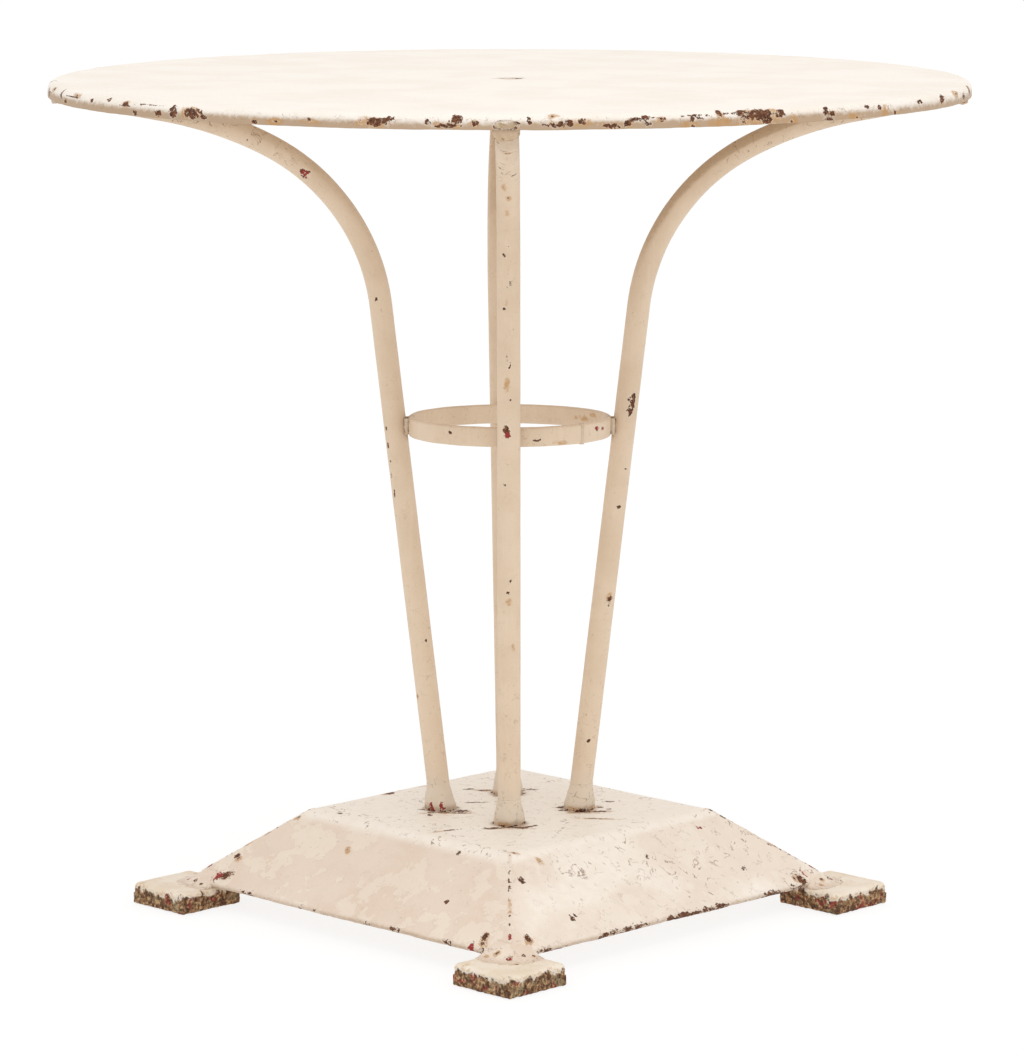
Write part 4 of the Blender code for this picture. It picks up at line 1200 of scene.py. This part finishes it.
def buildBase():
    rows = [squareRow(*spot) for spot in baseProfile()]
    mesh = gridMesh("base_folded_sheet", rows, capped=True)
    points = pointsOf(mesh)
    facing = normalsOf(mesh)
    half = np.max(np.abs(points[:, :2]), axis=1)
    root = math.sqrt(0.5)
    marks = []
    for right, front, long, wide, turn, kind in baseChips:
        x = (right + front) * root / 1000
        y = (right - front) * root / 1000
        reach = max(abs(x), abs(y))
        height = baseHigh.z - max(reach - base["foldHalf"] - 0.006, 0.0) * math.tan(skirtSlope)
        way = math.radians(turn + 45)
        halfWide = wide / 2000 + base["markSpread"]
        marks.append(((x, y, height), (math.cos(way), math.sin(way), 0.0), long / 2000, halfWide, kind))

    x, y, z = points.T
    high = baseHigh.z
    feet = [np.array(legSpot(corner, leg["footRadius"], footHeight)) for corner in corners]
    away = np.min([np.linalg.norm(points - foot, axis=1) for foot in feet], axis=0)
    # dirt lies along the lower edge, round the feet, at the corners and all over the inside
    low = falling(z, skirtEdge + 0.0015, skirtEdge + 0.006) * (0.7 + 0.3 * rising(x, -0.05, 0.05))
    inside = (np.abs(z - skinHeight(points) + base["sheet"]) < 0.0012) * 0.8
    ends = np.linalg.norm(np.abs(points[:, :2]) - skirtHalf + 0.004, axis=1)
    feetDirt = falling(away, 0.0135, 0.021)
    grime = np.clip(low + feetDirt + falling(ends, 0.008, 0.03) * 0.35 + inside, 0, 1.2)
    # rust has got further along the lower edge, close round the feet and on the right side
    rightSide = 0.78 + 0.22 * rising(x, 0.10, 0.16)
    patchy = rising(lumps(points, 0.022, 44), -0.2, 0.35)
    edge = falling(z, skirtEdge + 0.002, skirtEdge + 0.010) * rightSide * (1.15 + 0.75 * patchy)
    worn = np.maximum(edge, rising(z, high - 0.006, high - 0.002) * 0.25)
    wear = soundPaint + np.maximum(worn, falling(away, 0.0145, 0.0185) * 1.6) + 0.12 * rightSide
    # painted light: the plate is lightened against the shade the top casts on it; the front right side is
    # lightened in patches, partly paler paint and partly painted light where the light falls; both are
    # more cracked
    patchyLightAndTint = 0.35 + 0.5 * rising(lumps(points, 0.06, 47), -0.1, 0.4)
    fade = np.maximum(rising(z, high - 0.010, high - 0.003), rising(x + y, -0.02, 0.04) * patchyLightAndTint)
    cracked = np.maximum(rising(x + y, -0.05, 0.12), rising(z, high - 0.008, high - 0.003))
    crackle = 0.10 + 0.9 * cracked * (0.25 + 0.75 * rising(lumps(points, 0.045, 51), -0.25, 0.35))
    chip = wearPaint(mesh, marks, grime=grime, wear=wear, crackle=crackle, fade=fade)
    # dents pull the sheet in and out a little; rust has eaten into its lower edge
    skirt = rising(half, 0.11, 0.15)
    dent = (lumps(points, 0.085, 4) * 0.7 + lumps(points, 0.030, 6) * 0.25) * base["dents"]
    dent = dent * (0.35 + 0.65 * skirt)
    upward = np.sign(points[:, 2] - skinHeight(points) + base["sheet"] / 2)
    points[:, 2] += dent
    low = falling(points[:, 2], skirtEdge, skirtEdge + 0.004)
    eaten = np.clip(lumps(points, 0.006, 9) + lumps(points, 0.0025, 10) * 0.5, 0, 1) * base["edgeEating"]
    points[:, 2] += low * eaten
    points -= facing * (rising(chip, 0.0, 0.4) * 0.0003 * (upward > 0))[:, None]
    movePoints(mesh, points)
    piece = makePiece("base_folded_sheet", mesh, paints["basePaint"])
    handOver(piece, "base_paint", "base_shell")


def skinHeight(spots):
    # the height of the base's outer skin over a point
    reach = np.max(np.abs(spots[:, :2]), axis=1)
    over = np.clip(reach - base["foldHalf"] - 0.005, 0, None)
    return baseHigh.z - over * math.tan(skirtSlope)


buildBase()
print("base folded")


# Seam weld down each corner of the base, ground down and pitted

seam = {
    "Radius": 0.0020, "Step": 0.0009, "Sides": 20, "Ripple Pitch": 0.011, "Ripple Depth": 0.06,
    "Swelling": 0.0005, "Swelling Size": 0.006, "crown": 0.0007, "lowEnd": 0.0085,
    # marks: how far down the seam, length and width in millimetres, and kind
    "marks": (
        (0.08, 2.4, 2, "bare"), (0.26, 4, 2, "bare"), (0.38, 2.4, 3, "bare"), (0.43, 4, 2, "bare"),
        (0.60, 7, 1.8, "stain"), (0.72, 3, 2, "bare"), (0.80, 5, 2, "bare"), (0.93, 11, 3, "primer"),
    ),
}


def seamPath(direction, profile):
    # the centre line of a seam bead, sunk so that only its crown stands out
    root = math.sqrt(2.0)
    outward = heading(direction)[0]
    spots = [
        Vector((half * root - radius * (root - 1), height))
        for half, height, radius in profile
        if half > base["foldHalf"] + 0.0015 and height > skirtEdge + seam["lowEnd"]
    ]
    spots = spots[: spots.index(max(spots, key=lambda spot: spot.x)) + 1]
    path = []
    for i, spot in enumerate(spots):
        before = spots[max(i - 1, 0)]
        after = spots[min(i + 1, len(spots) - 1)]
        way = (after - before).normalized()
        inward = Vector((way.y, -way.x))
        centre = spot + inward * (seam["Radius"] - seam["crown"])
        path.append(outward * centre.x + Vector((0, 0, centre.y)))
    return path


def buildSeams():
    profile = baseProfile()
    for seed, corner in enumerate(corners):
        path = seamPath(corners[corner][0], profile)
        shares = [min(1.0, 0.45 + 0.12 * i, 0.5 + 0.12 * (len(path) - 1 - i)) for i in range(len(path))]
        sizes = {**nodeSizes(seam), "Seed": seed + 51}
        name = "corner_seam_bead_" + corner
        piece = sweep(name, tubeTree, path, sizes, paints["basePaint"], shares)
        marks = []
        way = (path[-1] - path[0]).normalized()
        for share, long, wide, kind in seam["marks"]:
            spot = path[int(share * (len(path) - 1) + (seed * 0.7) % 1 * 1.5)]
            spot = spot + Vector((0, 0, seam["Radius"] * 0.9))
            marks.append((spot, way, long / 2000, wide / 2000, kind))
        # a thin broken line of bare metal runs beside the ridge
        side = Vector((0, 0, 1)).cross(path[-1]).normalized()
        points = pointsOf(piece.data)
        off = np.abs(points @ np.array(side) + 0.0008)
        patchy = rising(lumps(points, 0.007, seed + 81), -0.35, 0.25)
        wear = soundPaint + 1.75 * falling(off, 0.0004, 0.0016) * patchy
        wearPaint(piece.data, marks, grime=0.2, wear=wear, crackle=0.6, fade=0.3)
        handOver(piece, "base_paint", "base_corner_seam_" + corner)


buildSeams()
print("corner seams ground")


# Foot pads: square blocks with worn edges, and the weld that flares from each corner onto its pad

pad = {"cuts": 42, "edge": 0.0052, "lowEdge": 0.0022, "pits": 0.0005, "wave": 0.0003}
flare = {
    "rise": 0.0105, "reach": 0.0140, "corner": 0.0130, "taper": 0.006, "lumps": 0.0009, "steps": 14,
    # marks: across and out from the corner and up from the pad in metres, length and
    # width in millimetres, and kind
    "marks": (
        (-0.012, 0.0, 0.006, 8, 4, "rust"), (0.001, 0.0, 0.005, 10, 4, "primer"),
        (0.012, 0.002, 0.006, 4, 4, "bare"), (0.020, 0.004, 0.003, 5, 3, "rust"),
        (-0.020, 0.006, 0.002, 5, 3, "stain"), (0.006, 0.012, 0.001, 5, 3, "rust"),
    ),
}


def buildPads():
    for seed, corner in enumerate(corners):
        low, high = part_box("foot_pad_" + corner)
        middle = (low + high) / 2
        size = high - low
        bm = bmesh.new()
        bmesh.ops.create_cube(bm, size=1.0)
        bmesh.ops.subdivide_edges(bm, edges=bm.edges, cuts=pad["cuts"], use_grid_fill=True)
        for vert in bm.verts:
            spot = Vector((vert.co.x * size.x, vert.co.y * size.y, vert.co.z * size.z))
            radius = pad["edge"] if spot.z > 0 else pad["lowEdge"]
            core = Vector([
                max(-(size[i] / 2 - radius), min(size[i] / 2 - radius, spot[i])) for i in range(3)
            ])
            off = spot - core
            if off.length > 1e-9 and sum(abs(part) > 1e-6 for part in off) > 1:
                spot = core + off.normalized() * radius
            vert.co = spot + middle
        mesh = bpy.data.meshes.new("foot_pad_block_" + corner)
        bm.to_mesh(mesh)
        bm.free()
        smoothSkin(mesh)
        points = pointsOf(mesh)
        side = falling(points[:, 2], high.z - 0.004, high.z)
        pits = lumps(points, 0.005, seed + 61) + lumps(points, 0.0022, seed + 65) * 0.7
        pits = np.clip(pits + 0.5, 0, None)
        wave = (lumps(points, 0.025, seed + 69) + 1.0) * pad["wave"]
        swellSkin(mesh, -pits * (0.25 + 0.75 * side) * pad["pits"] - wave)
        points = pointsOf(mesh)
        points[:, 2] = np.maximum(points[:, 2], low.z)
        movePoints(mesh, points)
        piece = makePiece("foot_pad_block_" + corner, mesh, paints["padPaint"])
        handOver(piece, "pad_rust", "foot_pad_" + corner)
        buildFlare(corner, seed, high.z, low, high)


def buildFlare(corner, seed, padTop, low, high):
    # the section is a hollow curve from the skirt down to the pad, swept round the corner
    slope = math.tan(skirtSlope)
    edgeRise = skirtEdge + base["sheet"] * math.cos(skirtSlope) - padTop
    upper = (-flare["rise"] / slope + 0.001, edgeRise + flare["rise"] - 0.001 * slope)
    bend = (edgeRise / slope, 0.0)
    lower = (flare["reach"], -0.0004)
    section = []
    for step in range(flare["steps"] + 1):
        t = step / flare["steps"]
        parts = [(1 - t) ** 2 * upper[i] + 2 * t * (1 - t) * bend[i] + t * t * lower[i] for i in range(2)]
        section.append(parts)
    section += [(flare["reach"] * 0.7, -0.0012), (0.0, -0.0012), (upper[0], upper[1] - 0.0035)]
    start = min(abs(low.x), abs(high.x)) + 0.0015
    flat = skirtHalf - flare["corner"]
    # along one side of the corner, round it and back along the other, as places and the
    # way out from each; the weld tapers in at both ends
    straight = [start + (flat - start) * step / 12 for step in range(13)]
    turns = [math.pi / 2 * step / 10 for step in range(1, 10)]
    path = [(place, flat, 0.0, 1.0) for place in straight]
    path += [(flat, flat, math.sin(turn), math.cos(turn)) for turn in turns]
    path += [(flat, place, 1.0, 0.0) for place in reversed(straight)]
    signX = math.copysign(1, low.x + high.x)
    signY = math.copysign(1, low.y + high.y)
    rows = []
    for x, y, outX, outY in path:
        share = 0.45 + 0.55 * min(1.0, (min(x, y) - start) / flare["taper"]) ** 0.6
        row = []
        for out, rise in section:
            radius = flare["corner"] + out * share
            height = padTop + rise * (share if rise > 0 else 1.0)
            row.append(((x + outX * radius) * signX, (y + outY * radius) * signY, height))
        rows.append(row)
    mesh = gridMesh("pad_weld_flare_" + corner, rows, capped=True)
    bm = bmesh.new()
    bm.from_mesh(mesh)
    bmesh.ops.subdivide_edges(bm, edges=bm.edges, cuts=2, use_grid_fill=True)
    bm.to_mesh(mesh)
    bm.free()
    smoothSkin(mesh)
    points = pointsOf(mesh)
    swell = lumps(points, 0.008, seed + 71) + lumps(points, 0.0035, seed + 75) * 0.5
    swellSkin(mesh, swell * flare["lumps"])
    centre = Vector((signX, signY, 0.0)) * skirtHalf
    marks = []
    outward = Vector((signX, signY, 0)).normalized()
    across = Vector((-outward.y, outward.x, 0))
    for aside, out, rise, long, wide, kind in flare["marks"]:
        spot = Vector((centre.x, centre.y, padTop + rise)) + across * aside
        spot += outward * (out - abs(aside) * 0.9)
        marks.append((spot, (0.0, 0.0, 1.0), long / 2000, wide / 2000, kind))
    grime = 0.6 * falling(pointsOf(mesh)[:, 2], padTop - 0.001, padTop + 0.004)
    wearPaint(mesh, marks, grime=grime, wear=-1.05, crackle=0.6)
    piece = makePiece("pad_weld_flare_" + corner, mesh, paints["basePaint"])
    handOver(piece, "base_paint", "pad_weld_" + corner)


buildPads()
print("pads welded on")


# Studio: pale floor, soft light, and a long lens at standing height

studio = {
    "floorSize": 80.0, "worldLight": 0.97,
    "floorPaper": {
        "Base Color": (0.20, 0.20, 0.20, 1.0), "Roughness": 0.9, "Specular IOR Level": 0.0,
        "Emission Color": (1.0, 1.0, 1.0, 1.0), "Emission Strength": 0.82,
    },
    "lens": 165.67, "cameraPlace": (2.9740, -2.9712, 1.0322), "cameraTurn": (80.6785, 0.0, 45.0),
    # name, power, size, place and target
    "lamps": (
        ("key", 21.0, 2.4, (1.5, -0.9, 3.5), (0.0, 0.0, 0.3)),
        ("fill", 2.0, 2.0, (3.4, 0.6, 1.6), (0.0, 0.0, 0.3)),
    ),
}


def buildStudio():
    half = studio["floorSize"] / 2
    mesh = bpy.data.meshes.new("studio_floor")
    spots = [(-half, -half, 0), (half, -half, 0), (half, half, 0), (-half, half, 0)]
    mesh.from_pydata(spots, [], [(0, 1, 2, 3)])
    paper = bpy.data.materials.new("floorPaper")
    paper.use_nodes = True
    shader = paper.node_tree.nodes["Principled BSDF"]
    for socket, value in studio["floorPaper"].items():
        shader.inputs[socket].default_value = value
    makePiece("studio_floor", mesh, paper)
    world = bpy.data.worlds.new("studio_light")
    world.use_nodes = True
    sky = world.node_tree.nodes["Background"]
    sky.inputs["Strength"].default_value = studio["worldLight"]
    sky.inputs["Color"].default_value = (1.0, 1.0, 1.0, 1.0)
    bpy.context.scene.world = world
    for name, power, size, place, target in studio["lamps"]:
        lamp = bpy.data.lights.new("lamp_" + name, "AREA")
        lamp.energy = power
        lamp.size = size
        holder = bpy.data.objects.new("lamp_" + name, lamp)
        holder.location = place
        holder.rotation_euler = (Vector(target) - Vector(place)).to_track_quat("-Z", "Y").to_euler()
        bpy.context.scene.collection.objects.link(holder)
    camera = bpy.data.cameras.new("standing_view")
    camera.lens = studio["lens"]
    camera.clip_end = 200.0
    viewer = bpy.data.objects.new("standing_view", camera)
    viewer.location = studio["cameraPlace"]
    viewer.rotation_euler = [math.radians(angle) for angle in studio["cameraTurn"]]
    bpy.context.scene.collection.objects.link(viewer)
    bpy.context.scene.camera = viewer
    bpy.context.scene.view_settings.view_transform = "Standard"


buildStudio()
print("studio lit")
